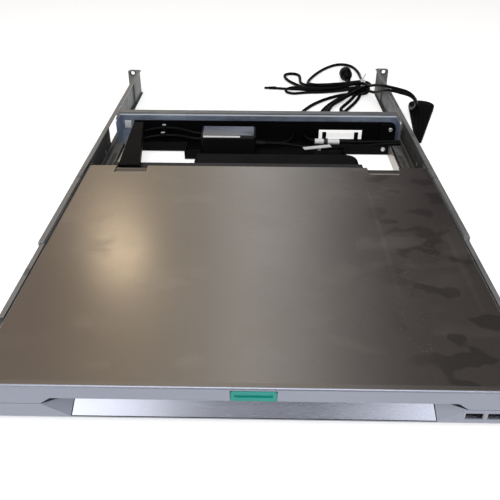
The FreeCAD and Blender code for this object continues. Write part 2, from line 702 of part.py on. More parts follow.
def front_bezel():
    """Moulded tray front: sloping chin, finger scoop with slanted ends, and the socket openings."""
    profile = [(FRONT_Y, CHIN_Z), (FRONT_Y + CHIN_BACK, 0), (PAN_FRONT, 0), (PAN_FRONT, BEZEL_TOP),
               (FRONT_Y, BEZEL_TOP)]
    bezel = along_x(profile, (-OUTER_X, OUTER_X))
    upright = straight_edges(bezel, 2, lambda c: c.y < FRONT_Y + 1)
    bezel = bezel.makeFillet(BEZEL_CORNER, upright)
    bezel = bezel.cut(scoop_void()).cut(scoop_insert())
    for x in USB_X:
        bezel = bezel.cut(usb_pockets(x, 0, (FRONT_Y - 1, FRONT_Y + USB_LEN)))
    return bezel.removeSplitter()


def usb_ports():
    """Two USB sockets: a metal shell each, with a contact tongue set back in it."""
    sockets = []
    for x in USB_X:
        y = (FRONT_Y + 0.5, FRONT_Y + USB_LEN)
        shell = usb_pockets(x, 0, y).cut(usb_pockets(x, -USB_WALL, (y[0] - 1, y[1] - 1)))
        half = USB_W / 2 - 1.5
        tongue = block((x - half, x + half), (y[0] + USB_TONGUE_BACK, y[1]), (USB_Z, USB_Z + 1.8))
        sockets.append(fused([shell, tongue]))
    return Part.makeCompound(sockets)


def lid_fascia():
    """Lid's front strip, notched above the scoop, with a rounded top edge and the latch window."""
    strip = block((-OUTER_X, OUTER_X), (FRONT_Y, FASCIA_BACK), (PARTING, LID_TOP))
    edge = straight_edges(strip, 0, lambda c: c.z > LID_TOP - 1 and c.y < FRONT_Y + 1)
    strip = strip.makeFillet(FASCIA_ROUND, edge)
    notch = [(-SCOOP_TOP, PARTING), (SCOOP_TOP, PARTING), (FASCIA_NOTCH_TOP, FASCIA_NOTCH_Z),
             (-FASCIA_NOTCH_TOP, FASCIA_NOTCH_Z)]
    strip = strip.cut(along_y(notch, (FRONT_Y - 1, FASCIA_BACK + 1)))
    half = LATCH_W / 2 + LATCH_GAP
    window = block((-half, half), (FRONT_Y - 1, FASCIA_BACK + 1), (PARTING, LATCH_Z[1] + LATCH_GAP))
    return strip.cut(window).removeSplitter()


def latch_button():
    """Latch push button with a finger slot, and the catch that reaches down into the deck."""
    y0 = FRONT_Y - LATCH_PROUD
    y1 = FASCIA_BACK - LATCH_GAP
    half = LATCH_W / 2
    cap = rounded_block((-half, half), (y0, y1), LATCH_Z, 2.0, 1)
    middle = (LATCH_Z[0] + LATCH_Z[1]) / 2
    length, width, depth = LATCH_SLOT
    cap = cap.cut(rounded_block((-length / 2, length / 2), (y0 - 1, y0 + depth),
                                (middle - width / 2, middle + width / 2), width / 2 - 0.1, 1))
    reach = FRONT_Y + LATCH_REACH
    arm = block((-CATCH_W / 2, CATCH_W / 2), (y1 - 0.5, reach), (middle, middle + CATCH_T))
    tip = DECK_TOP - CATCH_DIP
    catch = [(reach - CATCH_T, middle), (reach - CATCH_T, tip + 2), (reach - CATCH_T / 2, tip),
             (reach, tip + 1), (reach, middle)]
    return fused([cap, arm, along_x(catch, (-CATCH_W / 2, CATCH_W / 2))])


# Hinge

def notch_span():
    """Low and high x of the lid's notch round a hinge tower."""
    half = TOWER_W / 2 + NOTCH_GAP
    return TOWER_X - half, TOWER_X + half


def hinge_tower(side):
    """Fixed half of a hinge: a foot on the pan's floor and a round barrel that shows in the lid's notch."""
    x = (TOWER_X - TOWER_W / 2, TOWER_X + TOWER_W / 2)
    foot = block(x, (AXIS_Y - TOWER_FOOT / 2, AXIS_Y + TOWER_FOOT / 2), (SHEET, SHEET + 2.0))
    stem = block(x, (AXIS_Y - BARREL_R * 0.7, AXIS_Y + BARREL_R * 0.7), (SHEET, AXIS_Z))
    barrel = rod((x[0], AXIS_Y, AXIS_Z), (x[1], AXIS_Y, AXIS_Z), BARREL_R)
    bore = rod((x[0] - 1, AXIS_Y, AXIS_Z), (x[1] + 1, AXIS_Y, AXIS_Z), PIN_R + PIN_GAP)
    return on_side(side, fused([foot, stem, barrel]).cut(bore))


def knuckle_spans():
    """Low and high x of the two knuckles beside a hinge tower."""
    low, high = notch_span()
    inner, outer = low - NOTCH_WALL - SEAM, high + NOTCH_WALL + SEAM
    return (inner - KNUCKLE_W, inner), (outer, outer + KNUCKLE_W)


def hinge_leaf(side):
    """Moving half of a hinge: two knuckles on arms, and a plate against the lid's underside."""
    top = LID_TOP - LID_WALL
    spans = knuckle_spans()
    rear = AXIS_Y - LEAF_AHEAD
    pieces = [block((spans[0][0], spans[1][1]), (rear - LEAF_LEN, rear), (top - LEAF_T, top))]
    for x in spans:
        pieces.append(rod((x[0], AXIS_Y, AXIS_Z), (x[1], AXIS_Y, AXIS_Z), KNUCKLE_R))
        pieces.append(block(x, (rear - 5, AXIS_Y), (top - LEAF_T - 3, top - 0.5)))
    leaf = fused(pieces)
    bore = rod((spans[0][0] - 1, AXIS_Y, AXIS_Z), (spans[1][1] + 1, AXIS_Y, AXIS_Z), PIN_R)
    return on_side(side, leaf.cut(bore).removeSplitter())


def hinge_pins():
    """Steel pins through the towers and knuckles."""
    spans = knuckle_spans()
    pin = rod((spans[0][0], AXIS_Y, AXIS_Z), (spans[1][1], AXIS_Y, AXIS_Z), PIN_R)
    return Part.makeCompound([pin, mirrored(pin)])


# Lid

def lid_shell():
    """Satin metal lid: a shallow tray turned over, with round edges and walled notches for the hinges."""
    half = LID_X
    body = block((-half, half), (FASCIA_BACK, LID_REAR), (LID_SKIRT_Z, LID_TOP))
    body = body.makeFillet(LID_CORNER, straight_edges(body, 2, lambda c: c.y > 0))
    rim = [e for e in body.Edges if e.CenterOfMass.z > LID_TOP - 0.01 and e.CenterOfMass.y > FASCIA_BACK + 1]
    body = body.makeFillet(LID_ROUND, rim)
    inside = block((-half + LID_WALL, half - LID_WALL), (FASCIA_BACK + LID_WALL, LID_REAR - LID_WALL),
                   (LID_SKIRT_Z - 1, LID_TOP - LID_WALL))
    body = body.cut(inside)
    body = body.cut(block((-half, half), (FACE_REAR, LID_REAR + 1), (LID_SKIRT_Z - 1, REAR_SKIRT_Z)))
    low, high = notch_span()
    front = AXIS_Y - BARREL_R - NOTCH_CLEAR
    walls = block((low - NOTCH_WALL, high + NOTCH_WALL), (front - NOTCH_WALL, LID_REAR - LID_WALL / 2),
                  (REAR_SKIRT_Z, LID_TOP - LID_WALL / 2))
    notch = block((low, high), (front, LID_REAR + 1), (LID_SKIRT_Z - 1, LID_TOP + 1))
    pin = rod((low - 3, AXIS_Y, AXIS_Z), (high + 3, AXIS_Y, AXIS_Z), PIN_R + SEAM)
    for side in ("left", "right"):
        body = body.fuse(on_side(side, walls)).cut(on_side(side, notch)).cut(on_side(side, pin))
    latch = LATCH_W / 2 + 2 * LATCH_GAP
    body = body.cut(block((-latch, latch), (FASCIA_BACK - 1, FASCIA_BACK + LID_WALL + 1),
                          (LID_SKIRT_Z - 1, LATCH_Z[1] + 2 * LATCH_GAP)))
    return body.removeSplitter()


def panel_span(rim=(0.0, 0.0)):
    """Low and high x and y of the panel module, or of what lies inside its rim."""
    half = LID_X - PANEL_SIDE - rim[0]
    return (-half, half), (FASCIA_BACK + PANEL_FRONT + rim[1], FACE_REAR - PANEL_REAR - rim[1])


def display_bezel():
    """Inner frame round the screen, with its button openings and the catch's slot."""
    half = LID_X - FACE_EDGE
    plate = rounded_block((-half, half), (FASCIA_BACK, FACE_REAR), (PARTING, LID_SKIRT_Z), 3.0, 2)
    x, y = panel_span(SCREEN_RIM)
    plate = plate.cut(block(x, y, (PARTING - 1, LID_SKIRT_Z + 1)))
    for at in MENU_X + (POWER_X,):
        plate = plate.cut(block((at - MENU_W / 2 - SEAM, at + MENU_W / 2 + SEAM),
                                (MENU_Y - MENU_D / 2 - SEAM, MENU_Y + MENU_D / 2 + SEAM), (0, LID_TOP)))
    reach = FRONT_Y + LATCH_REACH
    slot = block((-CATCH_W / 2 - 1, CATCH_W / 2 + 1), (reach - CATCH_T - 1, reach + LATCH_TRAVEL + 1),
                 (0, LID_TOP))
    front = block((-LATCH_W / 2 - 1, LATCH_W / 2 + 1), (FASCIA_BACK - 1, FASCIA_BACK + 3), (0, LID_TOP))
    return plate.cut(slot).cut(front).removeSplitter()


def lcd_panel():
    """Flat panel module behind the bezel."""
    x, y = panel_span()
    return block(x, y, (LID_SKIRT_Z, LID_SKIRT_Z + PANEL_T))


def display_board():
    """Panel driver board on the back of the module, with its connectors."""
    middle = sum(panel_span()[1]) / 2
    rear = middle + DRIVER[1] / 2 - DRIVER_EDGE - DRIVER_PLUG[1] / 2
    z = LID_SKIRT_Z + PANEL_T
    pieces = [centred(DRIVER, 0, middle, z)]
    z += DRIVER[2]
    for i in range(DRIVER_CHIPS):
        pieces.append(centred(DRIVER_CHIP, (i - (DRIVER_CHIPS - 1) / 2) * DRIVER_CHIP_PITCH, middle, z))
    for x in (-DRIVER_PLUG_PITCH / 2, DRIVER_PLUG_PITCH / 2):
        pieces.append(centred(DRIVER_PLUG, x, rear, z))
    return fused(pieces)


def menu_button(at):
    """Small sprung button in the display bezel."""
    x = (at - MENU_W / 2, at + MENU_W / 2)
    y = (MENU_Y - MENU_D / 2, MENU_Y + MENU_D / 2)
    cap = rounded_block(x, y, (PARTING - MENU_PROUD, LID_SKIRT_Z + MENU_STEM), 1.2, 2)
    z = LID_SKIRT_Z + SEAM
    flange = block((x[0] - MENU_FLANGE, x[1] + MENU_FLANGE), (y[0] - MENU_FLANGE, y[1] + MENU_FLANGE),
                   (z, z + MENU_FLANGE))
    return fused([cap, flange])


def lid_bumpers():
    """Rubber pads that hold the closed lid off the deck."""
    pads = []
    side = DECK_X - BUMPER_SIDE
    for x in (-side, side):
        for y in (DECK_Y[0] + BUMPER_END, DECK_Y[1] - BUMPER_END):
            pads.append(rod((x, y, PARTING), (x, y, DECK_TOP + SEAM), BUMPER_R, BUMPER_R - 1.2))
    return Part.makeCompound(pads)


# Cable bay

def side_channel(side):
    """Folded channel from the tray to the crossbar; its inner wall stops short with a slanted end."""
    x = (CHANNEL_X, PAN_X)
    floor = block(x, (PAN_REAR, BAY_END + BAR_D), (0, SHEET))
    outer = block((PAN_X - SHEET, PAN_X), (PAN_REAR, BAY_END + BAR_D), (0, CHANNEL_H))
    slope = CHANNEL_H - SHEET
    end = PAN_REAR + CHANNEL_INNER
    wall = [(PAN_REAR, 0), (end, 0), (end, SHEET), (end - slope, CHANNEL_H), (PAN_REAR, CHANNEL_H)]
    return on_side(side, fused([floor, outer, along_x(wall, (CHANNEL_X, CHANNEL_X + SHEET))]))


def rear_crossbar():
    """Galvanised goal-post frame: an angle along the top, two windowed stiles, and flanges bent forward."""
    half = PAN_X - SHEET
    face = BAR_T
    bar = block((-half, half), (BAY_END, BAY_END + face), (BAR_Z, LID_TOP))
    top = block((-half, half), (BAY_END, BAY_END + BAR_D), (LID_TOP - face, LID_TOP))
    stile = block((half - STILE_W, half), (BAY_END, BAY_END + face), (SHEET, LID_TOP))
    flange = block((half - face, half), (BAY_END - STILE_FLANGE, BAY_END + face), (SHEET, LID_TOP))
    tip = straight_edges(flange, 0, lambda c: c.y < BAY_END - STILE_FLANGE + 1 and c.z > BAR_Z)
    flange = flange.makeFillet(STILE_CORNER, tip)
    middle = half - STILE_W / 2
    across, up = STILE_HOLE
    window = block((middle - across / 2, middle + across / 2), (BAY_END - 1, BAY_END + face + 1),
                   (STILE_HOLE_Z - up / 2, STILE_HOLE_Z + up / 2))
    stile = stile.cut(window)
    frame = fused([bar, top, stile, mirrored(stile), flange, mirrored(flange)])
    reveal = half - STILE_W
    inner = straight_edges(frame, 1, lambda c: abs(c.z - BAR_Z) < 0.1 and abs(abs(c.x) - reveal) < 0.1)
    return frame.makeFillet(BAR_CORNER, inner)


def shelf_front():
    """Plan outline of the shelf's floor, with its stepped front."""
    rear = BAY_END
    return [(-CHANNEL_X, SHELF_LEFT_Y), (SHELF_STEP_LEFT, SHELF_LEFT_Y), (SHELF_STEP_LEFT, SHELF_NEAR_Y),
            (SHELF_STEP_NEAR, SHELF_NEAR_Y), (SHELF_STEP_NEAR, SHELF_MID_Y),
            (SHELF_STEP_RIGHT, SHELF_MID_Y), (SHELF_STEP_RIGHT, SHELF_RIGHT_Y), (CHANNEL_X, SHELF_RIGHT_Y),
            (CHANNEL_X, rear), (-CHANNEL_X, rear)]


def cable_shelf():
    """Black shelf of the cable bay: stepped floor, upturned lip, and a rear wall with the cable outlet."""
    plan = shelf_front()
    floor = along_z(plan, (SHELF_Z - SHELF_T, SHELF_Z))
    lips = []
    for (x0, y0), (x1, y1) in zip(plan[:7], plan[1:8]):
        if y0 == y1:
            lips.append(block((min(x0, x1), max(x0, x1)), (y0, y0 + SHELF_T), (SHELF_Z - SHELF_T, SHELF_LIP)))
        else:
            x = (x0, x0 + SHELF_T) if x0 < 0 else (x0 - SHELF_T, x0)
            lips.append(block(x, (min(y0, y1), max(y0, y1) + SHELF_T), (SHELF_Z - SHELF_T, SHELF_LIP)))
    wall = block((WALL_LEFT, WALL_RIGHT), (WALL_FRONT, BAY_END), (SHELF_Z - SHELF_T, BAR_Z))
    wall = wall.makeFillet(WALL_CORNER, straight_edges(wall, 1, lambda c: c.x > 0 and c.z > SHELF_Z))
    box = block((WALL_RIGHT - BOX_W, WALL_RIGHT), (BOX_FRONT, BAY_END), (SHELF_Z - SHELF_T, BOX_TOP))
    crown = straight_edges(box, 1, lambda c: c.x > WALL_RIGHT - 1 and c.z > SHELF_Z)
    box = box.makeFillet(WALL_CORNER, crown)
    outlet = block(OUTLET_X, (WALL_FRONT - SHELF_T, BAY_END + 1), (SHELF_Z, OUTLET_TOP))
    shelf = fused([floor] + lips + [wall, box]).cut(outlet)
    posts = [block((x, x + OUTLET_POST), (WALL_FRONT, BAY_END), (SHELF_Z, OUTLET_TOP - OUTLET_OPEN))
             for x in (OUTLET_X[0] + OUTLET_BAY, OUTLET_X[1] - OUTLET_BAY - OUTLET_POST)]
    return fused([shelf] + posts)


def arm_plan(y, inset=0.0):
    """Plan of the tapered arm between two depths, drawn in by inset on both sides."""
    sides = []
    for depth in y:
        part = (depth - ARM_Y[0]) / (ARM_Y[1] - ARM_Y[0])
        middle = ARM_X[0] + part * (ARM_X[1] - ARM_X[0])
        half = (ARM_W[0] + part * (ARM_W[1] - ARM_W[0])) / 2 - inset
        sides.append(((middle - half, depth), (middle + half, depth)))
    (front_left, front_right), (rear_left, rear_right) = sides
    return [front_left, front_right, rear_right, rear_left]


def cable_arm():
    """Black cable duct along the left of the bay, open underneath, from the ledge to a foot on the shelf."""
    y0, y1 = ARM_Y
    duct = along_z(arm_plan(ARM_Y), ARM_Z)
    duct = duct.makeFillet(1.5, [e for e in duct.Edges if e.CenterOfMass.z > ARM_Z[1] - 0.01])
    duct = duct.cut(along_z(arm_plan((y0 + 4, y1 - 4), 1.5), (ARM_Z[0] - 1, ARM_Z[1] - 1.5)))
    foot = along_z(arm_plan((y1 - ARM_FOOT, y1)), (SHELF_Z, ARM_Z[0] + 1))
    return fused([duct, foot])


def harness_cover():
    """Rounded black cover over the wiring between the shelf and the tray."""
    y = (LEDGE_Y[1], SHELF_MID_Y)
    cover = block(COVER_X, y, (SHELF_Z, COVER_TOP))
    cover = cover.makeFillet(COVER_CORNER, straight_edges(cover, 2, lambda c: c.x > 0 and c.y > y[0] + 1))
    top = [e for e in cover.Edges if e.CenterOfMass.z > COVER_TOP - 0.01 and e.CenterOfMass.y > y[0] + 1]
    return cover.makeFillet(COVER_ROUND, top)


def power_brick():
    """Power supply brick on the shelf, with its inlet and its lead's boot."""
    z = (SHELF_Z, SHELF_Z + BRICK_H)
    brick = rounded_block(BRICK_X, BRICK_Y, z, BRICK_ROUND, 2)
    rim = [e for e in brick.Edges if e.CenterOfMass.z > z[1] - 0.01]
    brick = brick.makeFillet(BRICK_EDGE, rim)
    y, level = BRICK_Y[0] + BOOT_BACK, z[0] + BOOT_UP
    tip = BRICK_X[1] + BOOT_LEN
    boot = rod((BRICK_X[1] - 1, y, level), (tip, y, level), BOOT_R, BAY_CABLE_D / 2 + BOOT_LIP)
    return fused([brick, boot])


def bay_routes():
    """Routes of the wiring that the bay holds, from one fixed end to the other."""
    left, right = BRICK_X
    back, inside = WALL_FRONT, BAY_END
    wall = PAN_X - SHEET
    z = CORD_LEVEL
    foot = ARM_X[1] + ARM_W[1] / 2 + 0.6
    lead = BRICK_Y[0] + BOOT_BACK
    return {
        "rear lead": [(left, inside - 26, 20), (left - 10, inside - 26, 20), (left - 28, inside - 19, 22),
                      (left - 46, inside - 12, 23), (left - 70, inside - 12, 23), (foot, inside - 28.5, 23)],
        "front lead": [(left, inside - 38, 16), (left - 10, inside - 38, 16), (left - 28, inside - 32, 17),
                       (left - 46, inside - 27, 17), (left - 70, inside - 28, 17), (foot, inside - 37, 16)],
        "display lead": [(right + BOOT_LEN, lead, SHELF_Z + BOOT_UP), (right + 40, lead, SHELF_Z + BOOT_UP),
                         (right + 72, lead - 2, z + 2.4), (right + 99, lead - 4, z + 1.2),
                         (right + 133, lead + 3, z + 0.6), (right + 165, lead + 8, z + 1),
                         (right + 192, lead + 9, z + 4), (wall, lead + 8, z + 5)],
        "mains lead": [(MAINS_GLAND_X, back, GLAND_Z), (MAINS_GLAND_X, back - 13, GLAND_Z),
                       (MAINS_GLAND_X - 9, back - 26, z), (right + 24, inside - 31, z),
                       (right, inside - 31, z)],
        "signal lead": [(SIGNAL_GLAND_X, back, GLAND_Z), (SIGNAL_GLAND_X, back - 11, GLAND_Z),
                        (SIGNAL_GLAND_X + 6, back - 21, z + 3), (SIGNAL_GLAND_X + 18, inside - 26.5, z + 2),
                        (SIGNAL_GLAND_X + 50, inside - 26.5, z + 1.5),
                        (SIGNAL_GLAND_X + 80, inside - 27, z + 1), (SIGNAL_GLAND_X + 114, inside - 28, z + 3),
                        (wall, inside - 32, z + 5)],
    }


def bay_cables():
    """The bay's wiring, left and right of the brick."""
    return Part.makeCompound([cord_tube(name, route, BAY_CABLE_D) for name, route in bay_routes().items()])


def clip_ring(at, axis_x, radius, width, wall):
    """Open band round a cable that runs roughly along X, standing on the shelf by a small foot."""
    ring = rod((axis_x - width / 2, at[0], at[1]), (axis_x + width / 2, at[0], at[1]), radius + wall)
    ring = ring.cut(rod((axis_x - width, at[0], at[1]), (axis_x + width, at[0], at[1]), radius))
    foot = block((axis_x - width / 2, axis_x + width / 2), (at[0] + radius * 0.6, at[0] + radius + wall),
                 (SHELF_Z, at[1]))
    return fused([ring, foot])


def cable_clips():
    """Bright clips that hold the wiring to the shelf."""
    x = BRICK_X[0] - 60
    radius = BAY_CABLE_D / 2 + CLIP_GAP
    spots = [(BAY_END - 12.2, 23.2), (BAY_END - 27.6, 17.2)]
    return Part.makeCompound([clip_ring(at, x, radius, 7.0, 1.2) for at in spots])


def bay_ties():
    """White sleeve on one lead of the right-hand wiring, and a band with a marker flag on the other."""
    radius = BAY_CABLE_D / 2
    y, z = BAY_END - 26.5, CORD_LEVEL + 1.8
    start, end = V(SIGNAL_GLAND_X + 15, y, z + 0.3), V(SIGNAL_GLAND_X + 52, y, z - 0.3)
    sleeve = rod(start, end, radius + 1.7).cut(rod(start, end, radius))
    x, y, z = BRICK_X[1] + 92, BRICK_Y[0] + BOOT_BACK - 3.4, CORD_LEVEL + 1.6
    band = rod((x, y, z), (x + 5, y, z), radius + 1.1).cut(rod((x - 1, y, z), (x + 6, y, z), radius))
    flag = block((-21, 21), (-4, 4), (z + radius + 0.6, z + radius + 1.8))
    flag.rotate(V(0, 0, 0), V(0, 0, 1), FLAG_TURN)
    flag.translate(V(x - 1, y - 4.6, 0))
    return Part.makeCompound([sleeve, fused([band, flag])])


def shelf_screws():
    """Pan-head screws: on the rear wall and its box, and on the shelf's lip beside each side channel."""
    spots = [(WALL_RIGHT - SCREW_INSET, BOX_FRONT, SCREW_WALL_Z),
             (WALL_LEFT + SCREW_INSET, WALL_FRONT, SCREW_WALL_Z),
             (CHANNEL_X - SCREW_INSET, SHELF_RIGHT_Y, SCREW_LIP_Z),
             (-CHANNEL_X + SCREW_INSET, SHELF_LEFT_Y, SCREW_LIP_Z)]
    return Part.makeCompound([rod((x, y, z), (x, y - SCREW_H, z), SCREW_R, SCREW_R - SCREW_TAPER)
                              for x, y, z in spots])


# Cords behind the drawer

def cord_glands():
    """Tapered strain reliefs on the shelf's rear wall, each with its lock nut inside."""
    reliefs = []
    for x, d in ((MAINS_GLAND_X, MAINS_D), (SIGNAL_GLAND_X, SIGNAL_D)):
        flange = rod((x, BAY_END, GLAND_Z), (x, BAY_END + 3, GLAND_Z), GLAND_R)
        cone = rod((x, BAY_END + 3, GLAND_Z), (x, BAY_END + GLAND_LEN, GLAND_Z), GLAND_R - 1, d / 2 + 0.6)
        reliefs.append(fused([flange, cone]))
        radius, length = GLAND_NUT
        nut = rod((x, WALL_FRONT, GLAND_Z), (x, WALL_FRONT - length, GLAND_Z), radius)
        reliefs.append(nut.cut(rod((x, WALL_FRONT + 1, GLAND_Z), (x, WALL_FRONT - length - 1, GLAND_Z),
                                   BAY_CABLE_D / 2 + SEAM)))
    return Part.makeCompound(reliefs)


def hank_bundle():
    """Tied bundle of cord turns: thick in the middle, drawn in at the tie."""
    x0, x1 = BUNDLE_X
    profile = [(x0, 0), (x0, BUNDLE_TAIL_R), (x0 + BUNDLE_SWELL / 2, BUNDLE_TAIL_R + BUNDLE_SWELL / 3),
               (x0 + 2 * BUNDLE_SWELL, BUNDLE_R), (x1 - 2 * BUNDLE_SWELL, BUNDLE_R),
               (x1, BUNDLE_WAIST_R), (x1, 0)]
    half = Part.makePolygon([V(x, BUNDLE_Y, BUNDLE_Z + r) for x, r in profile + profile[:1]])
    return Part.Face(half).revolve(V(0, BUNDLE_Y, BUNDLE_Z), V(1, 0, 0), 360)


def hank_fan():
    """Loose turns that fan out on the floor from the tie."""
    fan = along_z(FAN_OUTLINE, (0.2, 0.2 + FAN_T))
    return fan.makeFillet(FAN_CORNER, straight_edges(fan, 2, lambda c: c.y < BUNDLE_Y - 30))


def cord_tie():
    """Twist tie round the end of the bundle."""
    x = BUNDLE_X[1]
    ring = rod((x, BUNDLE_Y, BUNDLE_Z), (x + TIE_W, BUNDLE_Y, BUNDLE_Z), TIE_R)
    root, up = x + TIE_W / 2, BUNDLE_Z + TIE_R
    ends = [rod((root, BUNDLE_Y + 3, up - 1), (root + dx, BUNDLE_Y + 9, up + 9), 1.0) for dx in (-4, 6)]
    return fused([ring] + ends)


def teardrop(head, tip, z):
    """Outline hull of two circles (x, y, radius), extruded."""
    (hx, hy, hr), (tx, ty, tr) = head, tip
    run = V(tx - hx, ty - hy, 0)
    base = math.atan2(run.y, run.x)
    spread = math.acos((hr - tr) / run.Length)

    def on_circle(circle, angle):
        return V(circle[0] + circle[2] * math.cos(angle), circle[1] + circle[2] * math.sin(angle), z[0])

    a, b = on_circle(head, base + spread), on_circle(head, base - spread)
    c, d = on_circle(tip, base - spread), on_circle(tip, base + spread)
    edges = [Part.Arc(a, on_circle(head, base + math.pi), b).toShape(), Part.LineSegment(b, c).toShape(),
             Part.Arc(c, on_circle(tip, base), d).toShape(), Part.LineSegment(d, a).toShape()]
    return Part.Face(Part.Wire(edges)).extrude(V(0, 0, z[1] - z[0]))


def cord_sleeve():
    """Flat black sleeve that holds the signal cord's slack beside the right rail."""
    sleeve = teardrop(SLEEVE_HEAD, SLEEVE_TIP, (0.2, 0.2 + SLEEVE_T))
    top = [e for e in sleeve.Edges if e.CenterOfMass.z > SLEEVE_T]
    return sleeve.makeFillet(3.0, top)


def mains_plug():
    """Mains plug lying on the floor: a tapered body and three blades."""
    neck_end, face = PLUG_Y
    x, z, shoulder = PLUG_X, PLUG_R, face - 16
    body = rod((x, shoulder, z), (x, face, z), PLUG_R - 0.6, PLUG_R - 2)
    neck = rod((x, shoulder, z), (x, neck_end, z), PLUG_R - 0.6, MAINS_D / 2 + 1)
    blades = [block((x + dx - 0.8, x + dx + 0.8), (face - 1, face + 17), (z + dz - 2.6, z + dz + 2.6))
              for dx, dz in ((-6.3, -2), (6.3, -2), (0, 5.5))]
    return fused([body, neck] + blades)


def signal_plug():
    """Small plug on the free end of the signal cord."""
    x, y, z = SIGNAL_TIP[-1]
    grip = rod((x, y, z + 0.4), (x - 12, y, z + 0.4), SIGNAL_D / 2 + 0.6, SIGNAL_D / 2 + 0.2)
    nose = rod((x - 12, y, z + 0.4), (x - 22, y, z + 0.4), SIGNAL_D / 2 - 0.3)
    return fused([grip, nose])


def all_nodes():
    """Every sub-part by its node name."""
    makers = [
        tray_pan, front_bezel, scoop_insert, usb_ports, keyboard_deck, keyboard_base, keycaps, touchpad,
        main_board, lid_shell, lid_fascia, display_bezel, lcd_panel, display_board, lid_bumpers, latch_button,
        hinge_pins, rear_crossbar, cable_shelf, cable_arm, harness_cover, power_brick, bay_cables,
        cable_clips, bay_ties, shelf_screws, cord_glands, hank_bundle, hank_fan, cord_tie, cord_sleeve,
        mains_plug, signal_plug,
    ]
    nodes = {make.__name__: make() for make in makers}
    nodes["pad_button_left"], nodes["pad_button_right"] = pad_button(0), pad_button(1)
    nodes["power_button"] = menu_button(POWER_X)
    cords = [("mains_feed", MAINS_FEED, MAINS_D), ("mains_tail", MAINS_TAIL, MAINS_D),
             ("mains_eye", MAINS_EYE, MAINS_D),
             ("signal_feed", SIGNAL_FEED, SIGNAL_D), ("signal_upper", SIGNAL_UPPER, SIGNAL_D),
             ("signal_lower", SIGNAL_LOWER, SIGNAL_D), ("signal_tip", SIGNAL_TIP, SIGNAL_D)]
    for name, route, diameter in cords:
        nodes[name] = cord_tube(name, route, diameter)
    for number, at in enumerate(MENU_X, 1):
        nodes[f"menu_button_{number}"] = menu_button(at)
    for side in ("left", "right"):
        for make in (outer_rail, rear_ear, mid_rail, inner_rail, hinge_tower, hinge_leaf, side_channel):
            nodes[f"{make.__name__}_{side}"] = make(side)
    return nodes


os.makedirs("parts", exist_ok=True)
for node, shape in all_nodes().items():
    if not shape.isValid() or shape.Volume <= 0:
        print("check", node, shape.isValid(), shape.Volume)
    shape.exportStep(f"parts/{node}.step")
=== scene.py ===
"""Rack console drawer with a fold-down monitor: cords, small pieces, finishes and studio.

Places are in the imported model's frame: X to the right, Y to the back, Z up. Routes and sizes are
written in millimetres and built in metres.
"""

import json
import logging
import math
from collections.abc import Callable, Sequence
from dataclasses import dataclass, field
from enum import Enum

import bmesh
import bpy
from mathutils import Euler, Matrix, Vector

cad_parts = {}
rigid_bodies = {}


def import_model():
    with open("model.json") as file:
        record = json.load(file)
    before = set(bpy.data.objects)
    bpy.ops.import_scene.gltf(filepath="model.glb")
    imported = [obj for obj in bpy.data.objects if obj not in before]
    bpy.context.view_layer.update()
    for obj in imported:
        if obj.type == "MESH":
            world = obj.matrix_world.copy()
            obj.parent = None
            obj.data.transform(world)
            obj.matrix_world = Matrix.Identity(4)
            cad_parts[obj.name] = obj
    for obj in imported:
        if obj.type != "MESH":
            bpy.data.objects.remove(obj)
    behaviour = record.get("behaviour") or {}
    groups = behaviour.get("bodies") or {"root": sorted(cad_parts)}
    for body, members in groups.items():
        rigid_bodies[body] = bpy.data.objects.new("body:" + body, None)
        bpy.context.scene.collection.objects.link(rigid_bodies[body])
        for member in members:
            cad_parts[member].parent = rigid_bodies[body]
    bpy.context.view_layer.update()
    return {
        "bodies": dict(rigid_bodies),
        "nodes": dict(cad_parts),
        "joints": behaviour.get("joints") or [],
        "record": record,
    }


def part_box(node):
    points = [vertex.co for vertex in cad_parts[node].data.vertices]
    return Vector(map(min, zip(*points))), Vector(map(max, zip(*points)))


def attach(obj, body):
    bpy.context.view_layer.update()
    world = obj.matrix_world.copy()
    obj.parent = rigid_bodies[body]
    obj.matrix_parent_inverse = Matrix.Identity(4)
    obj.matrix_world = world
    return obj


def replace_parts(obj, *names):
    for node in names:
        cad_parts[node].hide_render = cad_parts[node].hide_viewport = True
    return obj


LOG = logging.getLogger("console_drawer")
MM = 0.001
LID_TOP = 0.043  # top of the closed lid, in metres
FLANGE = 0.0408  # underside of the top flanges of the rails and the crossbar, in metres
LOOKS = 0.9  # least share of a direction that counts as along an axis
FOLD = 0.7  # least fold of a sharp edge, in radians
SWELL = 1.08  # distance of a turn's control points from its middle, to its radius

Point = tuple[float, float, float]
Shade = tuple[float, float, float, float]


def linear(red: int, green: int, blue: int) -> Shade:
    """Turn a display colour into the linear one that shaders take.

    Args:
        red: Red from 0 to 255.
        green: Green from 0 to 255.
        blue: Blue from 0 to 255.

    Returns:
        The colour with full alpha.
    """
    def one(value: int) -> float:
        """Decode one channel."""
        part = value / 255
        return part / 12.92 if part <= 0.04045 else ((part + 0.055) / 1.055) ** 2.4
    return one(red), one(green), one(blue), 1.0


def metres(point: Sequence[float]) -> Vector:
    """Scale a point from millimetres to metres."""
    return Vector(point) * MM


class Side(Enum):
    """Side of the drawer: its word in names, and its sign in x."""

    LEFT = ("left", -1)
    RIGHT = ("right", 1)

    def __init__(self, word: str, sign: int) -> None:
        """Keep the side's word and sign."""
        self.word = word
        self.sign = sign


class Facing(Enum):
    """Way that a flat face looks: an axis, and its sign or 0 for both ways."""

    ENDS_X = (0, 0)
    ENDS_Y = (1, 0)
    LEFT = (0, -1)
    RIGHT = (0, 1)
    FRONT = (1, -1)
    BACK = (1, 1)
    UP = (2, 1)

    def takes(self, face: bmesh.types.BMFace) -> bool:
        """Say whether a face looks this way.

        Args:
            face: The face.

        Returns:
            Whether its normal lies along the axis.
        """
        axis, sign = self.value
        share = face.normal[axis]
        return (share * sign if sign else abs(share)) > LOOKS


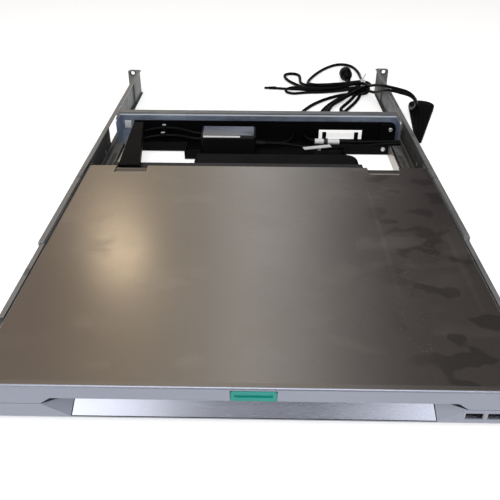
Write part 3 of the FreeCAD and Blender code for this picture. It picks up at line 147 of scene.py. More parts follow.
class Paint:
    """One procedural material and short ways to add nodes to it."""

    def __init__(self, name: str) -> None:
        """Start from a plain principled shader.

        Args:
            name: The material's name.
        """
        self.material = bpy.data.materials.new(name)
        self.material.use_nodes = True
        self.nodes = self.material.node_tree.nodes
        self.links = self.material.node_tree.links
        self.shader = self.nodes["Principled BSDF"]
        self.place = self.nodes.new("ShaderNodeTexCoord").outputs["Object"]

    def set(self, **values: object) -> None:
        """Set or link sockets of the shader, written with _ for a space.

        Args:
            values: A number, a colour or another node's output for each socket.
        """
        for name, value in values.items():
            self.feed(self.shader.inputs[name.replace("_", " ")], value)

    def feed(self, socket: bpy.types.NodeSocket, value: object) -> None:
        """Link an output to a socket, or set the socket's own value.

        Args:
            socket: The socket.
            value: A number, a colour or another node's output.
        """
        if isinstance(value, bpy.types.NodeSocket):
            self.links.new(value, socket)
        else:
            socket.default_value = value

    def stretched(self, stretch: Point, turn: float = 0.0) -> bpy.types.NodeSocket:
        """Object coordinates, scaled along each axis and turned about Z.

        Args:
            stretch: Scale along x, y and z.
            turn: Turn about Z in radians.

        Returns:
            The mapped coordinates.
        """
        node = self.nodes.new("ShaderNodeMapping")
        self.links.new(self.place, node.inputs["Vector"])
        node.inputs["Scale"].default_value = stretch
        node.inputs["Rotation"].default_value = (0.0, 0.0, turn)
        return node.outputs["Vector"]

    def axis(self, name: str) -> bpy.types.NodeSocket:
        """Place along one axis, in metres.

        Args:
            name: X, Y or Z.

        Returns:
            The coordinate.
        """
        node = self.nodes.new("ShaderNodeSeparateXYZ")
        self.links.new(self.place, node.inputs[0])
        return node.outputs[name]

    def noise(self, scale: float, detail: float = 3.0, stretch: Point = (1, 1, 1),
              turn: float = 0.0) -> bpy.types.NodeSocket:
        """Cloudy noise from 0 to 1.

        Args:
            scale: Cells to the metre.
            detail: Octaves.
            stretch: Scale along each axis.
            turn: Turn about Z in radians.

        Returns:
            The noise value.
        """
        node = self.nodes.new("ShaderNodeTexNoise")
        self.links.new(self.stretched(stretch, turn), node.inputs["Vector"])
        node.inputs["Scale"].default_value = scale
        node.inputs["Detail"].default_value = detail
        return node.outputs["Fac"]

    def cells(self, scale: float, output: str = "Distance") -> bpy.types.NodeSocket:
        """Cell pattern.

        Args:
            scale: Cells to the metre.
            output: Which output to read.

        Returns:
            That output.
        """
        node = self.nodes.new("ShaderNodeTexVoronoi")
        self.links.new(self.place, node.inputs["Vector"])
        node.inputs["Scale"].default_value = scale
        return node.outputs[output]

    def span(self, source: bpy.types.NodeSocket, start: float, end: float, low: float = 0.0,
             high: float = 1.0) -> bpy.types.NodeSocket:
        """Stretch a value's range and clamp it.

        Args:
            source: The value.
            start: Value that gives low.
            end: Value that gives high.
            low: Result at start.
            high: Result at end.

        Returns:
            The new value.
        """
        node = self.nodes.new("ShaderNodeMapRange")
        self.links.new(source, node.inputs["Value"])
        limits = {"From Min": start, "From Max": end, "To Min": low, "To Max": high}
        for name, value in limits.items():
            node.inputs[name].default_value = value
        return node.outputs["Result"]

    def maths(self, operation: str, first: object, second: object) -> bpy.types.NodeSocket:
        """Join two values.

        Args:
            operation: One of the node's words, such as ADD.
            first: Output or number.
            second: Output or number.

        Returns:
            The result.
        """
        node = self.nodes.new("ShaderNodeMath")
        node.operation = operation
        self.feed(node.inputs[0], first)
        self.feed(node.inputs[1], second)
        return node.outputs[0]

    def times(self, first: object, second: object) -> bpy.types.NodeSocket:
        """Multiply two values."""
        return self.maths("MULTIPLY", first, second)

    def mix(self, factor: bpy.types.NodeSocket, first: object,
            second: object) -> bpy.types.NodeSocket:
        """Blend two colours.

        Args:
            factor: 0 gives the first, 1 the second.
            first: Colour or output.
            second: Colour or output.

        Returns:
            The blended colour.
        """
        node = self.nodes.new("ShaderNodeMix")
        node.data_type = "RGBA"
        self.links.new(factor, node.inputs[0])
        self.feed(node.inputs[6], first)
        self.feed(node.inputs[7], second)
        return node.outputs[2]

    def bump(self, height: bpy.types.NodeSocket, distance: float, strength: float = 1.0) -> None:
        """Raise the surface by a height pattern.

        Args:
            height: Pattern from 0 to 1.
            distance: Depth in metres.
            strength: How much of it shows.
        """
        node = self.nodes.new("ShaderNodeBump")
        node.inputs["Distance"].default_value = distance
        node.inputs["Strength"].default_value = strength
        self.links.new(height, node.inputs["Height"])
        self.links.new(node.outputs["Normal"], self.shader.inputs["Normal"])


class Grain(Enum):
    """Way that a metal's grain runs."""

    NONE = (1.0, 1.0, 1.0)
    ACROSS = (0.02, 1.0, 1.0)
    ALONG = (1.0, 0.02, 1.0)


@dataclass(frozen=True)
class Finish:
    """A finish with a colour of its own."""

    name: str
    colour: tuple[int, int, int]

    def shade(self, gain: float) -> Shade:
        """The finish's colour, lighter or darker by a factor."""
        red, green, blue = (min(255, round(part * gain)) for part in self.colour)
        return linear(red, green, blue)

    def material(self) -> bpy.types.Material:
        """Make the finish's material.

        Returns:
            The material.
        """
        paint = Paint(self.name)
        self.dress(paint)
        return paint.material

    def dress(self, paint: Paint) -> None:
        """Lay the finish on a material."""
        raise NotImplementedError


@dataclass(frozen=True)
class Rim:
    """Upper part of a piece, in another tone above a height in metres.

    On the lid's front strip the tone is the lid's own paint; on the rails and the crossbar it is
    painted light on the top flange, and on the hinge tabs a painted shade. A bright line of some
    width may lie below that height, a painted highlight. The edge is the width of the change.
    """

    top: float
    tone: tuple[int, int, int]
    line: float = 0.0
    edge: float = 0.0003


@dataclass(frozen=True)
class Metal(Finish):
    """Metal or metallic paint with grain, flecks and faint dulling."""

    roughness: float = 0.35
    metallic: float = 1.0
    grain: Grain = Grain.NONE
    grain_scale: float = 900.0
    grain_depth: float = 0.00002
    fleck: float = 0.04
    rim: Rim | None = None
    rim_metallic: float = 0.95

    def dress(self, paint: Paint) -> None:
        """Lay the finish on a material.

        Args:
            paint: The material.
        """
        grain = paint.noise(self.grain_scale, 4.0, self.grain.value)
        cloud = paint.noise(14.0, 3.0)
        tone = paint.maths("ADD", paint.times(grain, 0.6), paint.times(cloud, 0.4))
        base = paint.mix(tone, self.shade(1 - 2 * self.fleck), self.shade(1 + 2 * self.fleck))
        metallic = self.metallic
        # Rim: the lid's own paint on the front strip, and a painted shade on the hinge tabs' tops.
        if self.rim:
            upper = paint.span(paint.axis("Z"), self.rim.top, self.rim.top + self.rim.edge)
            base = paint.mix(upper, base, linear(*self.rim.tone))
            metallic = paint.span(upper, 0.0, 1.0, self.metallic, self.rim_metallic)
        rough = paint.span(tone, 0.3, 0.7, self.roughness * 0.85, self.roughness * 1.15)
        paint.set(Base_Color=base, Metallic=metallic, Roughness=rough)
        paint.bump(grain, self.grain_depth)


@dataclass(frozen=True)
class Pewter(Finish):
    """Satin lid paint with dust, fine scratches and smudges, and dark marks on its right side."""

    roughness: float = 0.25
    metallic: float = 0.95
    dust: tuple[int, int, int] = (196, 190, 180)
    marks_x: tuple[float, float] = (0.11, 0.15)

    def dress(self, paint: Paint) -> None:
        """Lay the finish on a material.

        Args:
            paint: The material.
        """
        fleck = paint.noise(1500.0, 2.0)
        cloud = paint.noise(7.0, 4.0)
        specks = paint.span(paint.cells(260.0), 0.10, 0.05)
        patches = paint.span(paint.noise(9.0, 3.0), 0.46, 0.66)
        dust = paint.times(specks, paint.times(patches, 0.55))
        scratch = paint.span(paint.noise(60.0, 1.0, (1.0, 0.03, 1.0), 0.9), 0.70, 0.73)
        smudge = paint.span(paint.noise(16.0, 2.0, (1.0, 1.6, 1.0)), 0.56, 0.70)
        base = paint.mix(fleck, self.shade(0.95), self.shade(1.05))
        base = paint.mix(paint.times(smudge, 0.10), base, self.shade(1.22))
        base = paint.mix(paint.times(scratch, 0.18), base, self.shade(1.3))
        marks = paint.span(paint.noise(26.0, 2.0, (1.0, 1.3, 1.0), 0.6), 0.56, 0.60)
        marks = paint.times(marks, paint.span(paint.axis("X"), *self.marks_x))
        base = paint.mix(paint.times(marks, 0.7), base, self.shade(0.78))
        rough = paint.span(cloud, 0.3, 0.7, self.roughness - 0.03, self.roughness + 0.04)
        paint.set(Base_Color=paint.mix(dust, base, linear(*self.dust)),
                  Metallic=paint.maths("SUBTRACT", self.metallic, dust),
                  Roughness=paint.maths("ADD", rough, paint.times(smudge, 0.05)))
        paint.bump(paint.maths("ADD", fleck, paint.times(dust, 2.0)), 0.000012)


@dataclass(frozen=True)
class Zinc(Finish):
    """Zinc-plated sheet with a faint spangle, rub marks and dulled patches, and maybe a
    painted-light top and a painted highlight line.
    """

    roughness: float = 0.36
    rub: Grain = Grain.ALONG
    metallic: float = 0.9
    rim: Rim | None = None
    # Tone and metallic of the painted highlight line below the top.
    highlight_line_tone: tuple[int, int, int] = (232, 238, 244)
    highlight_line_metallic: float = 0.1

    def dress(self, paint: Paint) -> None:
        """Lay the finish on a material.

        Args:
            paint: The material.
        """
        spangle = paint.cells(150.0, "Color")
        rub = paint.noise(420.0, 3.0, self.rub.value)
        patch = paint.span(paint.noise(22.0, 4.0), 0.40, 0.62)
        stain = paint.span(paint.noise(60.0, 5.0), 0.58, 0.72)
        base = paint.mix(paint.span(spangle, 0.0, 1.0), self.shade(0.93), self.shade(1.06))
        metallic = self.metallic
        # Painted light: above the rim's height the top flange takes the rim's tone.
        if self.rim:
            height = paint.axis("Z")
            top, edge = self.rim.top, self.rim.edge
            base = paint.mix(paint.span(height, top, top + edge), base, linear(*self.rim.tone))
        base = paint.mix(paint.times(rub, 0.35), base, self.shade(1.14))
        base = paint.mix(paint.times(stain, 0.5), base, self.shade(0.7))
        # Painted highlight: a bright, less metallic line just below the top.
        if self.rim and self.rim.line:
            low = top - self.rim.line
            line = paint.times(paint.span(height, low - edge, low),
                               paint.span(height, top + edge, top))
            base = paint.mix(line, base, linear(*self.highlight_line_tone))
            metallic = paint.span(line, 0.0, 1.0, self.metallic, self.highlight_line_metallic)
        rough = paint.span(paint.maths("ADD", patch, rub), 0.3, 1.5, self.roughness,
                           self.roughness + 0.18)
        paint.set(Base_Color=base, Metallic=metallic, Roughness=rough)
        paint.bump(rub, 0.00002)


@dataclass(frozen=True)
class Moulding(Finish):
    """Moulded plastic, powder coat or rubber with a fine texture and lint."""

    roughness: float = 0.5
    texture: float = 1100.0
    depth: float = 0.00004
    lint: float = 0.10
    specular: float = 0.5
    fluff: tuple[int, int, int] = (170, 165, 158)

    def dress(self, paint: Paint) -> None:
        """Lay the finish on a material.

        Args:
            paint: The material.
        """
        texture = paint.noise(self.texture, 3.0)
        cloud = paint.noise(20.0, 4.0)
        lint = paint.span(paint.cells(330.0), 0.12, 0.05)
        lint = paint.times(lint, paint.span(cloud, 0.5, 0.7, 0.0, self.lint))
        base = paint.mix(cloud, self.shade(0.9), self.shade(1.1))
        paint.set(Base_Color=paint.mix(lint, base, linear(*self.fluff)),
                  Roughness=paint.span(paint.maths("ADD", texture, cloud), 0.7, 1.3,
                                       self.roughness - 0.05, self.roughness + 0.07),
                  Specular_IOR_Level=self.specular)
        paint.bump(texture, self.depth)


@dataclass(frozen=True)
class Sheath(Finish):
    """Extruded cord sheath: finely grained, with a dusty bloom and scuffs."""

    roughness: float = 0.38
    specular: float = 0.08

    def dress(self, paint: Paint) -> None:
        """Lay the finish on a material.

        Args:
            paint: The material.
        """
        bloom = paint.span(paint.noise(34.0, 4.0), 0.48, 0.72)
        scuff = paint.span(paint.noise(240.0, 3.0), 0.62, 0.74)
        base = paint.mix(paint.times(bloom, 0.4), self.shade(1.0), self.shade(1.6))
        base = paint.mix(paint.times(scuff, 0.2), base, self.shade(2.6))
        rough = paint.span(bloom, 0.0, 1.0, self.roughness, self.roughness + 0.16)
        paint.set(Base_Color=base, Roughness=rough, Specular_IOR_Level=self.specular)
        paint.bump(paint.noise(900.0, 2.0), 0.00003)


@dataclass(frozen=True)
class Weave(Finish):
    """Close black weave in two crossing directions."""

    pitch: float = 0.0011
    waves: float = 20.0  # bands that the wave node draws in one unit at scale 1
    slant: float = 0.24
    specular: float = 0.07

    def dress(self, paint: Paint) -> None:
        """Lay the finish on a material.

        Args:
            paint: The material.
        """
        waves = []
        for turn in (0.0, math.pi / 2):
            node = paint.nodes.new("ShaderNodeTexWave")
            paint.links.new(paint.stretched((1, 1, 0.2), turn + self.slant), node.inputs["Vector"])
            node.inputs["Scale"].default_value = 1 / self.pitch / self.waves
            node.inputs["Distortion"].default_value = 0.6
            waves.append(node.outputs["Fac"])
        thread = paint.maths("MAXIMUM", *waves)
        fade = paint.noise(30.0, 4.0)
        base = paint.mix(thread, self.shade(0.6), self.shade(1.25))
        base = paint.mix(paint.span(fade, 0.5, 0.75, 0.0, 0.3), base, self.shade(1.9))
        paint.set(Base_Color=base, Roughness=paint.span(thread, 0.0, 1.0, 0.9, 0.72),
                  Specular_IOR_Level=self.specular)
        paint.bump(thread, 0.00015)


@dataclass(frozen=True)
class ScreenGlass(Finish):
    """Dark display surface with a fine cell grid under an anti-glare coat."""

    def dress(self, paint: Paint) -> None:
        """Lay the finish on a material.

        Args:
            paint: The material.
        """
        haze = paint.noise(2600.0, 2.0)
        cell = paint.cells(3200.0, "Color")
        base = paint.mix(paint.span(cell, 0.0, 1.0), self.shade(0.8), self.shade(1.3))
        paint.set(Base_Color=base, Roughness=paint.span(haze, 0.3, 0.7, 0.22, 0.34),
                  Coat_Weight=0.4, Coat_Roughness=0.3)
        paint.bump(haze, 0.000006)


@dataclass(frozen=True)
class BoardLacquer(Finish):
    """Circuit board lacquer over copper runs and pads."""

    tinned: tuple[int, int, int] = (176, 160, 110)

    def dress(self, paint: Paint) -> None:
        """Lay the finish on a material.

        Args:
            paint: The material.
        """
        runs = paint.nodes.new("ShaderNodeTexBrick")
        paint.links.new(paint.place, runs.inputs["Vector"])
        runs.inputs["Scale"].default_value = 90.0
        runs.inputs["Mortar Size"].default_value = 0.03
        pads = paint.span(paint.cells(420.0), 0.16, 0.12)
        base = paint.mix(runs.outputs["Fac"], self.shade(1.0), self.shade(1.35))
        paint.set(Base_Color=paint.mix(pads, base, linear(*self.tinned)), Metallic=pads,
                  Roughness=paint.span(runs.outputs["Fac"], 0.0, 1.0, 0.34, 0.26))
        paint.bump(runs.outputs["Fac"], 0.00003)


FINISHES: dict[str, Finish] = {
    "tray_black": Moulding("tray_powder_coat", (30, 30, 32), roughness=0.52, texture=1300.0,
                           depth=0.00004),
    "bay_black": Moulding("bay_powder_coat", (9, 9, 11), roughness=0.5, texture=1200.0,
                          depth=0.00005, lint=0.12, specular=0.06),
    "silver_front": Metal("silver_front_paint", (143, 147, 160), roughness=0.34, metallic=0.75,
                          grain=Grain.NONE, grain_scale=2600.0, grain_depth=0.000004, fleck=0.03,
                          rim=Rim(LID_TOP - 0.00008, (170, 163, 156), edge=0.00005)),
    "brushed_insert": Metal("brushed_insert_metal", (198, 203, 219), roughness=0.26, metallic=1.0,
                            grain=Grain.ACROSS, grain_scale=5200.0, grain_depth=0.000002,
                            fleck=0.012),
    "socket_steel": Metal("socket_plated_steel", (176, 178, 182), roughness=0.28),
    "deck_plastic": Moulding("deck_charcoal_plastic", (44, 44, 47), roughness=0.55, texture=900.0,
                             depth=0.00008),
    "key_plastic": Moulding("key_black_plastic", (26, 26, 28), roughness=0.45, texture=1500.0,
                            depth=0.00003),
    "pad_plastic": Moulding("pad_smooth_plastic", (58, 58, 62), roughness=0.36, texture=2400.0,
                            depth=0.000015),
    "board_green": BoardLacquer("board_green_lacquer", (24, 78, 46)),
    "lid_metal": Pewter("lid_satin_pewter", (170, 163, 156)),
    "screen_frame": Moulding("screen_frame_plastic", (34, 34, 36), roughness=0.5, texture=1000.0,
                             depth=0.00006),
    "screen": ScreenGlass("screen_dark_glass", (14, 15, 18)),
    "latch_teal": Moulding("latch_teal_plastic", (22, 150, 138), roughness=0.36, texture=1800.0,
                           depth=0.00002, lint=0.0),
    # Hinge tabs: the darker tone above 30 mm is painted shade on their tops, leaving a bright lower
    # edge.
    "hinge_grey": Metal("hinge_grey_steel", (176, 172, 165), roughness=0.36, metallic=0.85,
                        rim=Rim(0.03, (122, 117, 112), edge=0.00005)),
    "pin_steel": Metal("pin_bright_steel", (206, 208, 212), roughness=0.3, metallic=0.5),
    # Rails: the paler tone above the flange's underside is painted light from above.
    "rail_steel": Zinc("rail_zinc_steel", (114, 116, 117), roughness=0.46, rub=Grain.ALONG,
                       metallic=0.85, rim=Rim(FLANGE, (172, 173, 174))),
    # Crossbar: the top's tone is painted light on the top flange, and the bright line below it is a
    # painted highlight.
    "galvanised": Zinc("crossbar_galvanised_steel", (166, 180, 203), roughness=0.36,
                       rub=Grain.ACROSS, metallic=0.9,
                       rim=Rim(FLANGE, (152, 152, 149), line=0.0019)),
    "cord_black": Sheath("cord_black_sheath", (7, 7, 8)),
    "brick_black": Moulding("brick_black_case", (14, 14, 16), roughness=0.45, texture=1000.0,
                            depth=0.00006, lint=0.1, specular=0.12),
    "tie_white": Moulding("tie_white_nylon", (226, 226, 228), roughness=0.4, texture=700.0,
                          depth=0.00003, lint=0.0),
    "tie_wire": Moulding("twist_tie_clear_strip", (226, 228, 230), roughness=0.25, texture=500.0,
                         depth=0.0001, lint=0.0),
    "sleeve_black": Weave("sleeve_black_weave", (9, 9, 10)),
    "rubber_pad": Moulding("pad_soft_rubber", (32, 32, 33), roughness=0.7, texture=700.0,
                           depth=0.0001),
}


class Wardrobe:
    """Finishes made so far, one material for each slot of the record."""

    def __init__(self) -> None:
        """Start with no material made."""
        self.made: dict[str, bpy.types.Material] = {}

    def cloth(self, slot: str) -> bpy.types.Material:
        """Find a slot's material, which is made when it is first asked for.

        Args:
            slot: The record's slot.

        Returns:
            The material.
        """
        if slot not in self.made:
            self.made[slot] = FINISHES[slot].material()
        return self.made[slot]

    def dress_nodes(self, frame: dict) -> None:
        """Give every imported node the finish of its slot.
        """
        for part in frame["record"]["subparts"]:
            for spot in frame["nodes"][part["node"]].material_slots:
                spot.material = self.cloth(part["material_slot"])

    def hand_over(self, piece: bpy.types.Object, slot: str, body: str) -> bpy.types.Object:
        """Dress a new piece and set it on its body.

        Args:
            piece: The piece, in its place.
            slot: The record's slot for its finish.
            body: The body that carries it.

        Returns:
            The piece.
        """
        piece.data.materials.clear()
        piece.data.materials.append(self.cloth(slot))
        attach(piece, body)
        LOG.info("%s on %s, finish %s", piece.name, body, slot)
        return piece


class Bench:
    """One mesh being modelled by hand tools in edit mode."""

    def __init__(self, name: str) -> None:
        """Take the object that an operator has just added.

        Args:
            name: The piece's name.
        """
        self.piece = bpy.context.object
        self.rename(name)
        bpy.ops.object.transform_apply(location=True, rotation=True, scale=True)

    @staticmethod
    def clear() -> None:
        """Leave edit mode and select nothing."""
        if bpy.context.object and bpy.context.object.mode != "OBJECT":
            bpy.ops.object.mode_set(mode="OBJECT")
        bpy.ops.object.select_all(action="DESELECT")

    @classmethod
    def block(cls, name: str, low: Point, high: Point) -> "Bench":
        """Start from a box.

        Args:
            name: The piece's name.
            low: Lowest corner in millimetres.
            high: Highest corner in millimetres.

        Returns:
            The bench with the box on it.
        """
        cls.clear()
        first, last = metres(low), metres(high)
        bpy.ops.mesh.primitive_cube_add(size=1.0, location=(first + last) / 2, scale=last - first)
        return cls(name)

    @classmethod
    def drum(cls, name: str, start: Point, end: Point, radius: float, sides: int = 32) -> "Bench":
        """Start from a cylinder.

        Args:
            name: The piece's name.
            start: Middle of the first end in millimetres.
            end: Middle of the other end in millimetres.
            radius: Radius in millimetres.
            sides: Number of sides.

        Returns:
            The bench with the cylinder on it.
        """
        cls.clear()
        first, last = metres(start), metres(end)
        turn = (last - first).to_track_quat("Z", "Y").to_euler()
        bpy.ops.mesh.primitive_cylinder_add(
            vertices=sides, radius=radius * MM, depth=(last - first).length,
            location=(first + last) / 2, rotation=turn)
        return cls(name)

    @staticmethod
    def merge(name: str, benches: Sequence["Bench"]) -> "Bench":
        """Join meshes into the first of them.

        Args:
            name: Name of the piece that they become.
            benches: The meshes.

        Returns:
            The bench with all of them on it.
        """
        first = benches[0]
        first.activate()
        for other in benches[1:]:
            other.piece.select_set(True)
        bpy.ops.object.join()
        first.rename(name)
        return first

    def rename(self, name: str) -> None:
        """Name the piece and its mesh."""
        self.piece.name = name
        self.piece.data.name = name

    def activate(self) -> None:
        """Select this piece alone, out of edit mode."""
        self.clear()
        self.piece.select_set(True)
        bpy.context.view_layer.objects.active = self.piece

    def copies(self, spots: Sequence[Point]) -> list["Bench"]:
        """Copy the piece, each copy with its own mesh.

        Args:
            spots: Places in millimetres, the piece's own first and then one for each copy.

        Returns:
            The piece's bench and those of its copies.
        """
        made = [self]
        for spot in spots[1:]:
            self.activate()
            move = metres(spot) - metres(spots[0])
            bpy.ops.object.duplicate_move(TRANSFORM_OT_translate={"value": move})
            made.append(Bench(self.piece.name))
        return made

    def pick_faces(self, test: Callable[[bmesh.types.BMFace], bool]) -> None:
        """Select in edit mode the faces that pass a test.

        Args:
            test: Says yes to a face that is wanted.
        """
        self.activate()
        bpy.ops.object.mode_set(mode="EDIT")
        bpy.ops.mesh.select_mode(type="FACE")
        bpy.ops.mesh.select_all(action="DESELECT")
        mesh = bmesh.from_edit_mesh(self.piece.data)
        for face in mesh.faces:
            face.select_set(test(face))
        bmesh.update_edit_mesh(self.piece.data)

    def pick_edges(self, test: Callable[[bmesh.types.BMEdge], bool]) -> None:
        """Select in edit mode the edges that pass a test.

        Args:
            test: Says yes to an edge that is wanted.
        """
        self.pick_faces(lambda face: False)
        bpy.ops.mesh.select_mode(type="EDGE")
        mesh = bmesh.from_edit_mesh(self.piece.data)
        for edge in mesh.edges:
            edge.select_set(test(edge))
        bmesh.update_edit_mesh(self.piece.data)

    def extrude(self, move: Point, shrink: float = 1.0) -> "Bench":
        """Draw the selected faces out, and scale their far end about its middle.

        Args:
            move: Way to go in millimetres.
            shrink: Scale of the far end.

        Returns:
            The bench.
        """
        bpy.ops.mesh.extrude_region_move(TRANSFORM_OT_translate={"value": metres(move)})
        if shrink != 1.0:
            bpy.ops.transform.resize(value=(shrink, shrink, shrink), center_override=self.middle())
        return self

    def inset(self, width: float, depth: float = 0.0) -> "Bench":
        """Inset the selected faces and push them in, in millimetres."""
        bpy.ops.mesh.inset(thickness=width * MM, depth=depth * MM)
        return self

    def bevel(self, width: float, segments: int = 2) -> "Bench":
        """Round the selected edges by a width in millimetres."""
        bpy.ops.mesh.bevel(offset=width * MM, segments=segments, affect="EDGES")
        return self

    def middle(self) -> Vector:
        """Find the middle of what is selected in edit mode.

        Returns:
            That point in metres.
        """
        mesh = bmesh.from_edit_mesh(self.piece.data)
        spots = [point.co for point in mesh.verts if point.select]
        return sum(spots, Vector()) / len(spots)

    def add(self, kind: str, **settings: object) -> "Bench":
        """Add a modifier and apply it.

        Args:
            kind: The modifier's type.
            settings: Its settings.

        Returns:
            The bench.
        """
        self.activate()
        made = self.piece.modifiers.new(kind.title(), kind)
        for name, value in settings.items():
            setattr(made, name, value)
        bpy.ops.object.modifier_apply(modifier=made.name)
        return self

    def tube(self, ends: Facing, rim: float, wall: float, edge: float) -> "Bench":
        """Open a drum's ends and give it a wall inside its own radius.

        Args:
            ends: Way that its ends look.
            rim: Width of the end rings that are cut away, in millimetres.
            wall: Thickness of the wall in millimetres.
            edge: Rounding of its edges in millimetres.

        Returns:
            The bench.
        """
        self.pick_faces(ends.takes)
        self.inset(rim)
        bpy.ops.mesh.delete(type="FACE")
        self.pick_faces(ends.takes)
        bpy.ops.mesh.delete(type="FACE")
        self.add("SOLIDIFY", thickness=wall * MM, offset=-1.0)
        return self.add("BEVEL", width=edge * MM, segments=2)

    def smooth(self, degrees: float = 35.0) -> bpy.types.Object:
        """Shade the piece smooth.

        Args:
            degrees: Sharpest fold that is shaded smooth.

        Returns:
            The finished piece.
        """
        self.activate()
        bpy.ops.object.shade_smooth_by_angle(angle=math.radians(degrees))
        return self.piece


def sharp(edge: bmesh.types.BMEdge) -> bool:
    """Whether an edge folds by more than 40 degrees."""
    return len(edge.link_faces) == 2 and edge.calc_face_angle() > FOLD


def runs_along(axis: int) -> Callable[[bmesh.types.BMEdge], bool]:
    """Make a test for edges that run along an axis.

    Args:
        axis: 0, 1 or 2 for x, y or z.

    Returns:
        The test.
    """
    def test(edge: bmesh.types.BMEdge) -> bool:
        """Whether an edge runs that way."""
        return abs((edge.verts[1].co - edge.verts[0].co).normalized()[axis]) > LOOKS
    return test


@dataclass
class Cord:
    """A flexible lead on one smooth line.

    The diameter and the line's control points are in millimetres.
    """

    name: str
    diameter: float
    route: list[Point]
    order: int = 3
    steps: int = 8
    roundness: int = 4

    def build(self) -> bpy.types.Object:
        """Make the lead as a curve of one open spline.

        Returns:
            The curve object.
        """
        curve = bpy.data.curves.new(self.name, "CURVE")
        curve.dimensions = "3D"
        spline = curve.splines.new("NURBS")
        spline.points.add(len(self.route) - 1)
        for spot, point in zip(spline.points, self.route):
            spot.co = (*metres(point), 1.0)
        spline.order_u = self.order
        spline.use_endpoint_u = True
        curve.resolution_u = self.steps
        curve.bevel_depth = self.diameter / 2 * MM
        curve.bevel_resolution = self.roundness
        curve.use_fill_caps = True
        piece = bpy.data.objects.new(self.name, curve)
        bpy.context.scene.collection.objects.link(piece)
        return piece


@dataclass
class CordSet:
    """The two cords behind the drawer, their hank and what is on them.

    Places, diameters and sizes are in millimetres, and the two lengths in metres.
    """

    wardrobe: Wardrobe
    mains_d: float = 6.0
    signal_d: float = 5.0
    mains_length: float = 1.9
    signal_length: float = 1.25
    plug_axis: tuple[float, float] = (172.0, 13.0)
    plug_y: tuple[float, float] = (673, 689)
    plug_r: float = 12.0
    plug_ribs: int = 4
    plug_least: float = 0.4
    blade_spots: tuple[Point, ...] = ((-6.3, 0, -2.0), (6.3, 0, -2.0), (0, 0, 5.5))
    blade_half: Point = (0.8, 8.5, 2.6)
    end_x: tuple[float, float] = (33, 27)
    end_axis: tuple[float, float] = (621.0, 3.3)
    end_r: float = 3.05
    end_ribs: int = 3
    sleeve_head: tuple[float, float] = (289, 528)
    sleeve_tip: tuple[float, float] = (251, 374)
    sleeve_head_r: float = 22.0
    sleeve_tip_r: float = 5.0
    sleeve_z: tuple[float, float] = (0.2, 5.2)
    sleeve_crown: tuple[tuple[float, float], ...] = (
        (1.2, 0.985), (0.3, 0.975), (-0.5, 0.96), (1.4, 0.93), (1.0, 0.82), (0.5, 0.6))
    tie_spots: tuple[Point, ...] = ((190.2, 608.0, 14.2), (194.8, 608.0, 14.2))
    tie_wide: float = 4.0
    tie_r: float = 10.4
    tie_root: float = 194.5
    tie_reach: tuple[float, float] = (-4.0, 6.0)
    mains_feed: list[Point] = field(default_factory=lambda: [
        (55, 404, 12), (55, 420, 12), (57, 440, 8), (63, 460, 4.2), (71, 480, 3.6)])
    mains_eye: list[Point] = field(default_factory=lambda: [
        (88, 613, 5), (79, 630, 4), (66, 650, 3.4), (55, 672, 3.4), (51, 696, 3.4),
        (55.5, 707, 3.4), (66.5, 711.7, 3.4), (77.5, 707, 3.4), (82, 696, 3.4), (82, 675, 3.4),
        (81, 655, 3.6), (84, 637, 5.5), (92, 619, 9.4)])
    mains_tail: list[Point] = field(default_factory=lambda: [
        (172, 648, 13), (171.5, 638.5, 12.5), (176, 628.5, 11.5), (187, 624, 10),
        (198.5, 628.5, 7.5), (203, 640, 5), (204, 662, 3.6), (204, 693, 3.4), (203, 727, 3.4),
        (198, 758, 3.4), (185, 777, 3.4), (167, 778, 3.4), (149, 763, 3.4), (131, 738, 3.4),
        (114, 706, 3.4), (101, 674, 3.6), (94, 645, 5.5), (98, 620, 11)])
    signal_feed: list[Point] = field(default_factory=lambda: [
        (72, 404, 12), (72, 420, 12), (80, 439, 7.5), (93, 456, 3.6), (106, 474, 3)])
    signal_upper: list[Point] = field(default_factory=lambda: [
        (193, 597, 21.5), (196.5, 582, 24), (199, 560, 28.5), (203, 524, 42), (212, 488, 52),
        (230, 474, 52), (248, 467, 49), (263, 474, 35), (271, 493, 19), (277, 513, 8)])
    signal_lower: list[Point] = field(default_factory=lambda: [
        (183, 600.5, 13), (193, 590, 15.5), (197.5, 572, 18), (201, 545, 22), (206, 508, 34),
        (213, 471, 51.5), (231, 455, 52), (249, 448, 49), (262, 457, 34), (265, 480, 17),
        (265, 504, 7), (267, 521, 4.6)])
    signal_tip: list[Point] = field(default_factory=lambda: [
        (76, 609, 5), (60, 613, 4), (46, 618, 2.9), (33, 621, 2.9)])

    @staticmethod
    def fan_turn(legs: tuple[float, float], middle: tuple[float, float], radius: float,
                 z: float) -> list[Point]:
        """Front end of a loop of the hank, from its right leg to its left one.

        Args:
            legs: Places in x of the left and the right leg where they leave the arc.
            middle: Middle of the turn's arc in x and y.
            radius: Radius of the arc.
            z: Height of the loop.

        Returns:
            Points of the two legs and the arc between them.
        """
        x, y = middle
        arc = [(x + radius * math.cos(turn), y - radius * math.sin(turn), z)
               for turn in (i * math.pi / 6 for i in range(7))]
        left, right = legs
        down = [(right + 37, 566, z + 1.5), (right + 26, 540, z), (right + 12, 513, z),
                (right, 490, z)]
        up = [(left, 490, z), (left + 7, 512, z), (left + 23, 537, z), (left + 42, 560, z + 1)]
        return down + arc + up

    @staticmethod
    def tie_turn(middle: tuple[float, float], radius: float, low: float,
                 high: float) -> list[Point]:
        """Half turn on the right of the tie, from the fan's side round to the bundle's.

        Args:
            middle: Middle of the turn in x and y.
            radius: Radius of the turn.
            low: Height where it starts.
            high: Height where it ends.

        Returns:
            Points round the turn.
        """
        x, y = middle
        wide = radius * SWELL
        return [(x + wide * math.cos(math.radians(turn)), y + wide * math.sin(math.radians(turn)),
                 low + (high - low) * (turn + 90) / 180) for turn in range(-90, 91, 45)]

